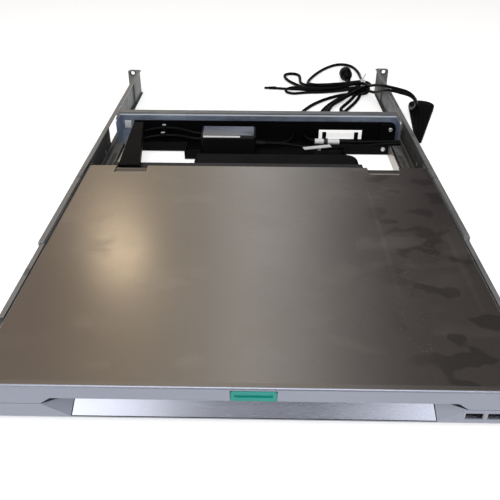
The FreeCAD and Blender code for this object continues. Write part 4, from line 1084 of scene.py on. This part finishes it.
    def mains_route(self) -> list[Point]:
        """Route of the mains cord from its gland through the hank to the plug.

        Returns:
            The control points.
        """
        up = [(82, 505, 3.4), (98, 532, 3.4), (120, 557, 3.6), (146, 574, 5), (166, 580, 6)]
        first_lane = [(160, 613.5, 5), (122, 613.5, 3.4), (102, 613, 3.8)]
        second_lane = [(114, 610, 9.4), (150, 610, 9.6), (172, 614, 13)]
        fold = [(165, 578, 7), (173, 592, 10), (183, 598, 12.5), (192, 592, 13.5), (197, 581, 13)]
        third_lane = [(162, 608, 17), (130, 606, 15.2), (110, 609, 13.5)]
        low_loop = self.fan_turn((114, 147), (130, 478), 16, 3.4)
        high_loop = self.fan_turn((122, 140), (131, 474), 14, 9.5)
        return (self.mains_feed + up + self.tie_turn((189, 597), 15, 6, 8.4) + first_lane
                + self.mains_eye + second_lane + self.tie_turn((189, 598), 16, 9, 14.6)[::-1]
                + low_loop + fold + high_loop + self.tie_turn((191, 595), 15, 19, 20.4)
                + third_lane + self.mains_tail[::-1])

    def signal_route(self) -> list[Point]:
        """Route of the signal cord from its gland through the hank and the sleeve to its end plug.

        Returns:
            The control points.
        """
        up = [(108, 492, 3), (117, 516, 3), (132, 543, 3.2), (152, 566, 5.5)]
        lane = [(160, 603, 5), (120, 598.5, 3), (92, 597, 3)]
        fold = [(77, 593, 3), (65, 589, 3.2), (54, 593, 3.8), (50, 601, 5), (55, 609, 6.6),
                (66, 611.5, 8), (80, 606, 9.2), (100, 602.5, 9.4)]
        back = [(126, 602, 9.4), (150, 604, 11), (168, 607, 15.5), (183, 606, 19)]
        slack = [(287, 519, 5), (295, 525, 4.4), (296, 534, 4), (288, 540, 4), (278, 537, 4),
                 (271, 530, 4.2)]
        home = [(168, 604, 9), (150, 605.5, 5), (128, 606, 3.2), (100, 607, 3.6)]
        return (self.signal_feed + up + self.tie_turn((187, 594), 10.5, 12.5, 9) + lane + fold
                + back + self.signal_upper + slack + self.signal_lower[::-1] + home
                + self.signal_tip)

    def build(self) -> None:
        """Make both cords with their end pieces."""
        plug, pins = self.plug()
        mains = Cord("mains_cord", self.mains_d, self.mains_route()).build()
        self.wardrobe.hand_over(mains, "cord_black", "drawer")
        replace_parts(mains, "mains_feed", "mains_eye", "mains_tail", "hank_bundle", "hank_fan")
        end = self.end_plug()
        signal = Cord("signal_cord", self.signal_d, self.signal_route()).build()
        self.wardrobe.hand_over(signal, "cord_black", "drawer")
        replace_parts(signal, "signal_feed", "signal_upper", "signal_lower", "signal_tip")
        self.sleeve()
        self.tie()

    def plug(self) -> tuple[bpy.types.Object, bpy.types.Object]:
        """Mains plug lying on its side: moulded body with a ribbed neck, and three blades.

        Returns:
            The body and the blades.
        """
        (x, z), (neck, face) = self.plug_axis, self.plug_y
        body = Bench.drum("mains_plug_body", (x, neck, z), (x, face, z), self.plug_r)
        body.pick_faces(Facing.FRONT.takes)
        body.extrude((0, -5, 0), 0.86).extrude((0, -2, 0), 0.86)
        for _ in range(self.plug_ribs):
            body.extrude((0, -0.6, 0), 0.86).extrude((0, -1.6, 0), 0.96)
            body.extrude((0, -0.5, 0), 1.10).extrude((0, -1.8, 0))
        body.pick_faces(Facing.BACK.takes)
        body.inset(2.2).extrude((0, 1, 0), 0.96)
        body.pick_edges(lambda edge: sharp(edge) and edge.calc_length() > self.plug_least * MM)
        body.bevel(0.35)
        (dx, _, dz), (wide, long, tall) = self.blade_spots[0], self.blade_half
        blade = Bench.block("mains_plug_blade", (x + dx - wide, face, z + dz - tall),
                            (x + dx + wide, face + 2 * long, z + dz + tall))
        blade.pick_faces(Facing.BACK.takes)
        blade.extrude((0, 1, 0), 0.7)
        blade.pick_edges(sharp)
        blade.bevel(0.25)
        pins = Bench.merge("mains_plug_blades", blade.copies(self.blade_spots)).smooth()
        shell = self.wardrobe.hand_over(body.smooth(), "cord_black", "drawer")
        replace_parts(shell, "mains_plug")
        return shell, self.wardrobe.hand_over(pins, "pin_steel", "drawer")

    def end_plug(self) -> bpy.types.Object:
        """Small plug on the signal cord's free end: a ribbed grip and a stepped nose.

        Returns:
            The plug.
        """
        (start, end), (y, z) = self.end_x, self.end_axis
        grip = Bench.drum("signal_end_plug", (start, y, z), (end, y, z), self.end_r, 24)
        grip.pick_faces(Facing.LEFT.takes)
        for _ in range(self.end_ribs):
            grip.extrude((-0.3, 0, 0), 0.9).extrude((-1, 0, 0))
            grip.extrude((-0.3, 0, 0), 1.1).extrude((-0.8, 0, 0))
        grip.extrude((-0.4, 0, 0), 0.78).extrude((-8, 0, 0)).extrude((-0.5, 0, 0), 0.8)
        grip.pick_edges(sharp)
        grip.bevel(0.12)
        piece = self.wardrobe.hand_over(grip.smooth(), "cord_black", "drawer")
        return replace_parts(piece, "signal_plug")

    def sleeve(self) -> bpy.types.Object:
        """Flat woven sleeve: two rounds joined by straight sides, crowned and edged by a seam.

        Returns:
            The sleeve.
        """
        head, tip = Vector(self.sleeve_head), Vector(self.sleeve_tip)
        run = tip - head
        base = math.atan2(run.y, run.x)
        spread = math.acos((self.sleeve_head_r - self.sleeve_tip_r) / run.length)
        Bench.clear()
        bpy.ops.mesh.primitive_cylinder_add(vertices=64, radius=1.0, depth=1.0,
                                            end_fill_type="NGON")
        bench = Bench("cord_sleeve_cloth")
        low, high = self.sleeve_z
        for point in bench.piece.data.vertices:
            angle = math.atan2(point.co.y, point.co.x)
            away = (angle - base + math.pi) % (2 * math.pi) - math.pi
            spot, radius = head, self.sleeve_head_r
            if abs(away) < spread:
                spot, radius = tip, self.sleeve_tip_r
            at = spot + radius * Vector((math.cos(base + away), math.sin(base + away)))
            point.co = metres((at.x, at.y, low if point.co.z < 0 else high))
        bench.pick_faces(Facing.UP.takes)
        for rise, shrink in self.sleeve_crown:
            bench.extrude((0, 0, rise), shrink)
        piece = self.wardrobe.hand_over(bench.smooth(50), "sleeve_black", "drawer")
        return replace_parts(piece, "cord_sleeve")

    def tie(self) -> bpy.types.Object:
        """Twist tie round the hank: a flat strip in two turns and its twisted ends.

        Returns:
            The tie.
        """
        x, y, z = self.tie_spots[0]
        turn = Bench.drum("hank_tie_turn", (x, y, z), (x + self.tie_wide, y, z), self.tie_r, 40)
        parts = turn.tube(Facing.ENDS_X, 0.9, 0.9, 0.3).copies(self.tie_spots)
        root = self.tie_root
        for reach in self.tie_reach:
            strip = Bench.drum("hank_tie_end", (root, y + 3, z + 9.5),
                               (root + reach, y + 9, z + 19), 1.0, 12)
            strip.pick_faces(lambda face: face.normal.z > 0.6)
            strip.extrude((reach * 0.1, 1.2, 0.2), 0.9).extrude((reach * 0.1, 1.0, -0.4), 0.8)
            parts.append(strip)
        tie = Bench.merge("hank_twist_tie", parts)
        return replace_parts(self.wardrobe.hand_over(tie.smooth(), "tie_wire", "drawer"), "cord_tie")


@dataclass
class CableBay:
    """Leads in the bay behind the tray, held at both ends.

    Places and diameters are in millimetres, and lengths in metres.
    """

    wardrobe: Wardrobe
    lead_d: float = 5.0
    leads: dict[str, list[Point]] = field(default_factory=lambda: {
        "rear_lead": [(-84, 352, 20), (-94, 352, 20), (-112, 359, 22), (-130, 366, 23),
                      (-154, 366, 23), (-171.9, 349.5, 23)],
        "front_lead": [(-84, 340, 16), (-94, 340, 16), (-112, 346, 17), (-130, 351, 17),
                       (-154, 350, 17), (-171.9, 341, 16)],
        "display_lead": [(11, 330, 14.7), (37, 330, 14.7), (69, 328, 9.8), (96, 326, 8.6),
                         (130, 333, 8), (162, 338, 8.4), (189, 339, 11.4), (214.4, 338, 12.4)],
        "mains_lead": [(55, 376.5, 12), (55, 363.5, 12), (46, 350.5, 7.4), (21, 347, 7.4),
                       (-3, 347, 7.4)],
        "signal_lead": [(72, 376.5, 12), (72, 365.5, 12), (78, 355.5, 10.4), (90, 351.5, 9.4),
                        (122, 351.5, 8.9), (152, 351, 8.4), (186, 350, 10.4), (214.4, 346, 12.4)]})
    lengths: dict[str, float] = field(default_factory=lambda: {
        "rear_lead": 0.096, "front_lead": 0.0915, "display_lead": 0.205, "mains_lead": 0.077,
        "signal_lead": 0.159})

    def build(self) -> None:
        """Lay the bay's leads in place of their solid tubes."""
        for name, route in self.leads.items():
            lead = Cord(name, self.lead_d, route).build()
            self.wardrobe.hand_over(lead, "cord_black", "drawer")
            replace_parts(lead, "bay_cables")


@dataclass
class Fittings:
    """Small rigid pieces on the bay, the front, the rails and the ears, in millimetres."""

    wardrobe: Wardrobe
    screw_spots: tuple[Point, ...] = (
        (204.5, 371.5, 21), (-184, 376.5, 21), (186, 323, 10), (-186, 329, 10))
    screw_r: float = 3.2
    clip_spots: tuple[Point, ...] = ((-144, 365.8, 23.2), (-144, 350.4, 17.2))
    clip_r: float = 5.5
    clip_half: tuple[float, float] = (3.5, 2.2)
    clip_foot: float = 2.7
    labels: tuple[tuple[str, str, Point, Point], ...] = (
        ("brick_bare_label", "silver_front", (-81, 320, 31.0), (-6, 354, 31.2)),
        ("brick_white_strip", "tie_white", (-80, 311.5, 31.0), (-26, 317.5, 31.25)))
    pad_box: tuple[Point, Point] = ((-209.4, 379.5, 16.0), (-195.4, 382.6, 32.0))
    band_ends: tuple[Point, Point] = ((100.5, 351.5, 9.2), (106.5, 351.5, 9.2))
    band_r: float = 5.0
    scoop_low: Point = (141.17, -191.5, 11.2)
    scoop_high: Point = (138.9, -181.45, 23.15)
    joint_r: float = 0.4
    hole_x: float = 232.5
    hole_rise: float = 15.9
    ear_plate: float = 2.0
    ring_r: float = 5.2
    ring_depth: float = 0.8
    rivet_x: tuple[float, float] = (222.3, 221.9)
    rivet_spots: dict[Side, tuple[float, float]] = field(default_factory=lambda: {
        Side.LEFT: (299.7, 11.6), Side.RIGHT: (261.2, 15.2)})
    rivet_r: float = 3.0
    strap_x: tuple[float, float] = (198.5, 210.5)
    strap_y: tuple[float, float] = (222, 318)
    strap_z: tuple[float, float] = (15.0, 16.4)
    strap_rear: tuple[Point, ...] = ((0, 5, -1.2), (0, 4, -5), (0, 3, -8.2))
    strap_front: tuple[Point, ...] = ((0, -4, -1.2), (0, -3, -5), (0, -2, -8.2))
    slot_x: float = 204.0
    slot_half: float = 2.2
    slot_y: tuple[float, float] = (226, 286)
    web: tuple[float, float] = (222.2, 223.3)
    window_z: tuple[float, float] = (8.05, 35.95)
    window_corner: float = 3.0
    plate_ends: dict[Side, tuple[float, float]] = field(default_factory=lambda: {
        Side.LEFT: (396, 435.9), Side.RIGHT: (356.1, 455.9)})
    rounded_from: dict[Side, float] = field(default_factory=lambda: {
        Side.LEFT: 430, Side.RIGHT: 0})

    def build(self) -> None:
        """Make each piece and set it on its body."""
        self.screws()
        self.clips()
        self.label()
        self.stile_pad()
        self.lead_band()
        self.scoop_joint()
        for side in Side:
            self.ear_rings(side)
            self.rivet(side)
            self.channel_strap(side)
        for side in Side:
            self.web_plate(side)

    def screws(self) -> None:
        """Domed screws with a drive recess, on the bay's walls and the shelf's lip."""
        x, y, z = self.screw_spots[0]
        head = Bench.drum("bay_screw", (x, y, z), (x, y - 0.9, z), self.screw_r, 24)
        head.pick_faces(Facing.FRONT.takes)
        head.extrude((0, -0.4, 0), 0.86).extrude((0, -0.3, 0), 0.72)
        head.inset(0.9).extrude((0, 0.9, 0), 0.55)
        heads = Bench.merge("bay_screws", head.copies(self.screw_spots))
        piece = self.wardrobe.hand_over(heads.smooth(), "pin_steel", "drawer")
        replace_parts(piece, "shelf_screws")

    def clips(self) -> None:
        """Saddle clips round the left leads, each with a foot: black saddles as painted shade on the
        clips, and a bright lug on top as a painted glint.
        """
        (x, y, z), (long, wide) = self.clip_spots[0], self.clip_half
        ring = Bench.drum("bay_clip_ring", (x - long, y, z), (x + long, y, z), self.clip_r)
        saddles = ring.tube(Facing.ENDS_X, 0.6, 1.2, 0.3).copies(self.clip_spots)
        # The lug is a painted glint on each clip's top.
        glint_lug = Bench.block("bay_clip_lug", (x - long + 0.5, y - wide, z + 4.7),
                          (x + long - 0.5, y + wide, z + 5.2))
        glint_lug.pick_faces(Facing.UP.takes)
        glint_lugs = glint_lug.inset(0.4).extrude((0, 0, 0.25), 0.9).copies(self.clip_spots)
        for x, y, z in self.clip_spots:
            foot = Bench.block("bay_clip_foot", (x - long, y - wide, self.clip_foot),
                               (x + long, y + wide, z - 4.9))
            foot.pick_edges(sharp)
            saddles.append(foot.bevel(0.4))
        # Black saddles stand in for the clips' shade, and steel lugs for their glint.
        for name, slot, parts in (("bay_clip_saddles", "bay_black", saddles),
                                  ("bay_clip_glint_lugs", "pin_steel", glint_lugs)):
            piece = self.wardrobe.hand_over(Bench.merge(name, parts).smooth(), slot, "drawer")
            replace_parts(piece, "cable_clips")

    def label(self) -> None:
        """Bare label and a white strip on the power supply's top."""
        for name, slot, low, high in self.labels:
            sheet = Bench.block(name, low, high)
            sheet.pick_edges(runs_along(2))
            sheet.bevel(1.2, 4)
            sheet.pick_faces(Facing.UP.takes)
            sheet.inset(0.3).extrude((0, 0, 0.05), 0.998)
            self.wardrobe.hand_over(sheet.smooth(), slot, "drawer")

    def stile_pad(self) -> None:
        """Pale pad pressed into the left stile's window from behind."""
        pad = Bench.block("stile_window_pad", *self.pad_box)
        pad.pick_faces(Facing.FRONT.takes)
        pad.inset(1.8).extrude((0, -1.3, 0)).extrude((0, -0.4, 0), 0.94)
        pad.pick_edges(sharp)
        pad.bevel(0.25)
        self.wardrobe.hand_over(pad.smooth(), "tie_wire", "drawer")

    def lead_band(self) -> None:
        """Black band round the white sleeve on the signal lead."""
        band = Bench.drum("signal_lead_band", *self.band_ends, self.band_r)
        band.tube(Facing.ENDS_X, 0.4, 0.75, 0.1875)
        self.wardrobe.hand_over(band.smooth(), "rubber_pad", "drawer")

    def scoop_joint(self) -> None:
        """Dark joint at both ends and along the lower edge of the scoop's insert."""
        (x, y, z), (x_high, *high) = self.scoop_low, self.scoop_high
        runs = [((side.sign * x, y, z), (side.sign * x_high, *high)) for side in Side]
        runs.append(((-x, y - 0.25, z - 0.5), (x, y - 0.25, z - 0.5)))
        beads = []
        for start, end in runs:
            bead = Bench.drum("scoop_joint_bead", start, end, self.joint_r, 12)
            bead.pick_faces(lambda face: len(face.verts) > 4)
            beads.append(bead.inset(0.1, 0.08))
        joint = Bench.merge("scoop_joint", beads)
        self.wardrobe.hand_over(joint.smooth(), "rubber_pad", "drawer")

    def ear_rings(self, side: Side) -> None:
        """Dark rings in front of the rack ear's two holes.

        Args:
            side: Side of the drawer.
        """
        low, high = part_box(f"rear_ear_{side.word}")
        x, y = side.sign * self.hole_x, high[1] / MM - self.ear_plate
        middle = (low[2] + high[2]) / 2 / MM
        spots = [(x, y, middle + rise) for rise in (-self.hole_rise, self.hole_rise)]
        start = (x, y - self.ring_depth, spots[0][2])
        ring = Bench.drum("ear_ring", start, spots[0], self.ring_r)
        rings = Bench.merge(f"ear_rings_{side.word}",
                            ring.tube(Facing.ENDS_Y, 0.6, 1.6, 0.4).copies(spots))
        self.wardrobe.hand_over(rings.smooth(), "rubber_pad", f"{side.word}_outer")

    def rivet(self, side: Side) -> None:
        """Flush bright rivet on the outer rail's web.

        Args:
            side: Side of the drawer.
        """
        (y, z), way = self.rivet_spots[side], side.sign
        start, end = ((way * x, y, z) for x in self.rivet_x)
        head = Bench.drum(f"rail_rivet_{side.word}", start, end, self.rivet_r, 24)
        head.pick_faces(Facing((0, -way)).takes)
        head.extrude((-way * 0.12, 0, 0), 0.8).inset(0.8).extrude((way * 0.15, 0, 0), 0.7)
        self.wardrobe.hand_over(head.smooth(), "pin_steel", f"{side.word}_outer")

    def channel_strap(self, side: Side) -> None:
        """Slotted strap along the side channel, with both ends folded down to the floor.

        Args:
            side: Side of the drawer.
        """
        low, high = sorted(side.sign * x for x in self.strap_x)
        (front, rear), (under, over) = self.strap_y, self.strap_z
        strap = Bench.block(f"channel_strap_{side.word}", (low, front, under), (high, rear, over))
        strap.pick_faces(Facing.BACK.takes)
        for move in self.strap_rear:
            strap.extrude(move)
        strap.pick_faces(lambda face: Facing.FRONT.takes(face)
                         and face.calc_center_median().y < (front + 0.5) * MM)
        for move in self.strap_front:
            strap.extrude(move)
        middle, (start, end) = side.sign * self.slot_x, self.slot_y
        slot = Bench.block("strap_slot", (middle - self.slot_half, start, under - 5),
                           (middle + self.slot_half, end, under + 5))
        slot.pick_edges(runs_along(2))
        slot.bevel(2.0, 4)
        strap.add("BOOLEAN", operation="DIFFERENCE", object=slot.piece, solver="EXACT")
        bpy.data.objects.remove(slot.piece)
        strap.add("BEVEL", width=0.2 * MM, segments=2, limit_method="ANGLE")
        self.wardrobe.hand_over(strap.smooth(), "rail_steel", "drawer")

    def web_plate(self, side: Side) -> None:
        """Plate in the outer rail's web, where its cable window is closed.

        Args:
            side: Side of the drawer.
        """
        low, high = sorted(side.sign * x for x in self.web)
        (front, rear), (under, over) = self.plate_ends[side], self.window_z
        plate = Bench.block(f"rail_web_plate_{side.word}", (low, front, under), (high, rear, over))
        across, first = runs_along(0), self.rounded_from[side] * MM
        plate.pick_edges(lambda edge: across(edge) and edge.verts[0].co.y > first)
        plate.bevel(self.window_corner, 4)
        plate.pick_faces(Facing.ENDS_X.takes)
        plate.inset(0.4, 0.1)
        self.wardrobe.hand_over(plate.smooth(), "rail_steel", f"{side.word}_outer")


@dataclass(frozen=True)
class Lamp:
    """One soft lamp: its place, aim, width and height in metres, and its power in watts."""

    name: str
    place: Point
    aim: Point
    size: tuple[float, float]
    power: float
    colour: Point = (1.0, 1.0, 1.0)

    def build(self) -> None:
        """Set the lamp in the scene."""
        data = bpy.data.lights.new(self.name, "AREA")
        data.shape, data.size, data.size_y = "RECTANGLE", *self.size
        data.energy, data.color = self.power, self.colour
        lamp = bpy.data.objects.new(self.name, data)
        turn = (Vector(self.aim) - Vector(self.place)).to_track_quat("-Z", "Y")
        lamp.matrix_world = Matrix.Translation(self.place) @ turn.to_matrix().to_4x4()
        bpy.context.scene.collection.objects.link(lamp)


@dataclass
class Studio:
    """Camera, lamps, pale floor and the surroundings that the metal mirrors.

    The camera's place and lens are in millimetres, its angles in radians, the rest in metres. The
    stops of the surroundings go from one end of an axis to the other.
    """

    eye: Point = (1.72, -507.87, 374.29)
    pitch: float = math.radians(33.327)
    yaw: float = math.radians(0.873)
    roll: float = math.radians(0.2)
    lens: float = 43.2
    sensor: float = 36.0
    clip: tuple[float, float] = (0.01, 60.0)
    across: tuple[tuple[float, Point], ...] = (
        (0.0, (0.3, 0.26, 0.24)), (0.335, (0.29, 0.24, 0.21)), (0.394, (0.5, 0.43, 0.33)),
        (0.45, (0.43, 0.4, 0.36)), (0.508, (0.88, 0.9, 0.92)), (0.541, (0.38, 0.39, 0.41)),
        (0.59, (0.1, 0.088, 0.096)), (0.65, (0.02, 0.016, 0.02)), (1.0, (0.12, 0.12, 0.12)))
    along: tuple[tuple[float, Point], ...] = (
        (0.0, (0.24, 0.24, 0.25)), (0.5, (1.0, 1.0, 1.0)), (1.0, (1.0, 1.0, 1.0)))
    floor_size: float = 16.0
    floor_z: float = -0.0004
    floor_glow: float = 0.62
    lamps: tuple[Lamp, ...] = (
        Lamp("softbox_left", (-0.95, -1.7, 1.0), (0.0, -0.1, 0.0), (1.15, 1.2), 8.0),
        Lamp("softbox_right", (1.08, -1.7, 1.0), (0.0, -0.1, 0.0), (1.15, 1.2), 7.0),
        Lamp("high_front", (0.0, -0.9, 2.1), (0.0, 0.2, 0.0), (2.2, 1.2), 34.0),
        Lamp("warm_lamp", (-0.495, 1.297, 0.901), (-0.137, -0.005, LID_TOP), (0.16, 0.16), 0.28,
             (1.0, 0.84, 0.6)))

    def camera(self) -> None:
        """Set the camera at the photograph's place and angle."""
        data = bpy.data.cameras.new("view")
        data.lens, data.sensor_width, data.sensor_fit = self.lens, self.sensor, "HORIZONTAL"
        data.clip_start, data.clip_end = self.clip
        camera = bpy.data.objects.new("view", data)
        turn = Euler((math.pi / 2 - self.pitch, 0.0, self.yaw)).to_matrix()
        turn = turn @ Matrix.Rotation(self.roll, 3, "Z")
        camera.matrix_world = Matrix.Translation(metres(self.eye)) @ turn.to_4x4()
        bpy.context.scene.collection.objects.link(camera)
        bpy.context.scene.camera = camera

    def surroundings(self) -> None:
        """Room light as the metal mirrors it: paler at the back, dim at the right and in front.

        The camera itself sees white paper.
        """
        world = bpy.data.worlds.new("room")
        bpy.context.scene.world = world
        world.use_nodes = True
        nodes, links = world.node_tree.nodes, world.node_tree.links
        way = nodes.new("ShaderNodeSeparateXYZ")
        links.new(nodes.new("ShaderNodeTexCoord").outputs["Generated"], way.inputs[0])
        shades = []
        for axis, stops in (("X", self.across), ("Y", self.along)):
            ramp = nodes.new("ShaderNodeValToRGB")
            spread = nodes.new("ShaderNodeMapRange")
            spread.inputs["From Min"].default_value = -1.0
            links.new(way.outputs[axis], spread.inputs["Value"])
            links.new(spread.outputs["Result"], ramp.inputs["Fac"])
            marks = ramp.color_ramp.elements
            marks[0].position, marks[1].position = 0.0, 1.0
            for place, shade in stops:
                found = [mark for mark in marks if abs(mark.position - place) < 1e-4]
                mark = found[0] if found else marks.new(place)
                mark.color = (*shade, 1.0)
            shades.append(ramp.outputs["Color"])
        blend = nodes.new("ShaderNodeMix")
        blend.data_type, blend.blend_type = "RGBA", "MULTIPLY"
        blend.inputs[0].default_value = 1.0
        links.new(shades[0], blend.inputs[6])
        links.new(shades[1], blend.inputs[7])
        links.new(blend.outputs[2], nodes["Background"].inputs["Color"])
        nodes["Background"].inputs["Strength"].default_value = 1.0
        paper = nodes.new("ShaderNodeBackground")
        paper.inputs["Color"].default_value = (1.0, 1.0, 1.0, 1.0)
        seen = nodes.new("ShaderNodeMixShader")
        links.new(nodes.new("ShaderNodeLightPath").outputs["Is Camera Ray"], seen.inputs[0])
        links.new(nodes["Background"].outputs[0], seen.inputs[1])
        links.new(paper.outputs[0], seen.inputs[2])
        links.new(seen.outputs[0], nodes["World Output"].inputs["Surface"])

    def floor(self) -> None:
        """Pale floor that is white to the eye and in mirrors, and keeps the shadow."""
        Bench.clear()
        bpy.ops.mesh.primitive_plane_add(size=self.floor_size, location=(0, 0, self.floor_z))
        floor = bpy.context.object
        floor.name = "studio_floor"
        paint = Paint("floor_pale_paper")
        base = paint.mix(paint.noise(3.0, 2.0), linear(226, 226, 226), linear(232, 232, 232))
        paint.set(Base_Color=base, Roughness=0.9, Specular_IOR_Level=0.1)
        rays = paint.nodes.new("ShaderNodeLightPath").outputs
        seen = paint.maths("MAXIMUM", rays["Is Glossy Ray"], rays["Is Transmission Ray"])
        seen = paint.maths("MAXIMUM", rays["Is Camera Ray"], seen)
        paint.set(Emission_Color=(1.0, 1.0, 1.0, 1.0),
                  Emission_Strength=paint.times(seen, self.floor_glow))
        floor.data.materials.append(paint.material)

    def build(self) -> None:
        """Set the camera, the floor and the light."""
        self.camera()
        self.floor()
        self.surroundings()
        for lamp in self.lamps:
            lamp.build()
        bpy.context.scene.view_settings.view_transform = "Standard"


def main() -> None:
    """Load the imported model, dress it and add its cords, small pieces and studio."""
    logging.basicConfig(level=logging.INFO, format="%(name)s: %(message)s")
    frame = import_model()
    wardrobe = Wardrobe()
    wardrobe.dress_nodes(frame)
    Studio().build()
    CordSet(wardrobe).build()
    CableBay(wardrobe).build()
    Fittings(wardrobe).build()
    Bench.clear()


if __name__ == "__main__":
    main()
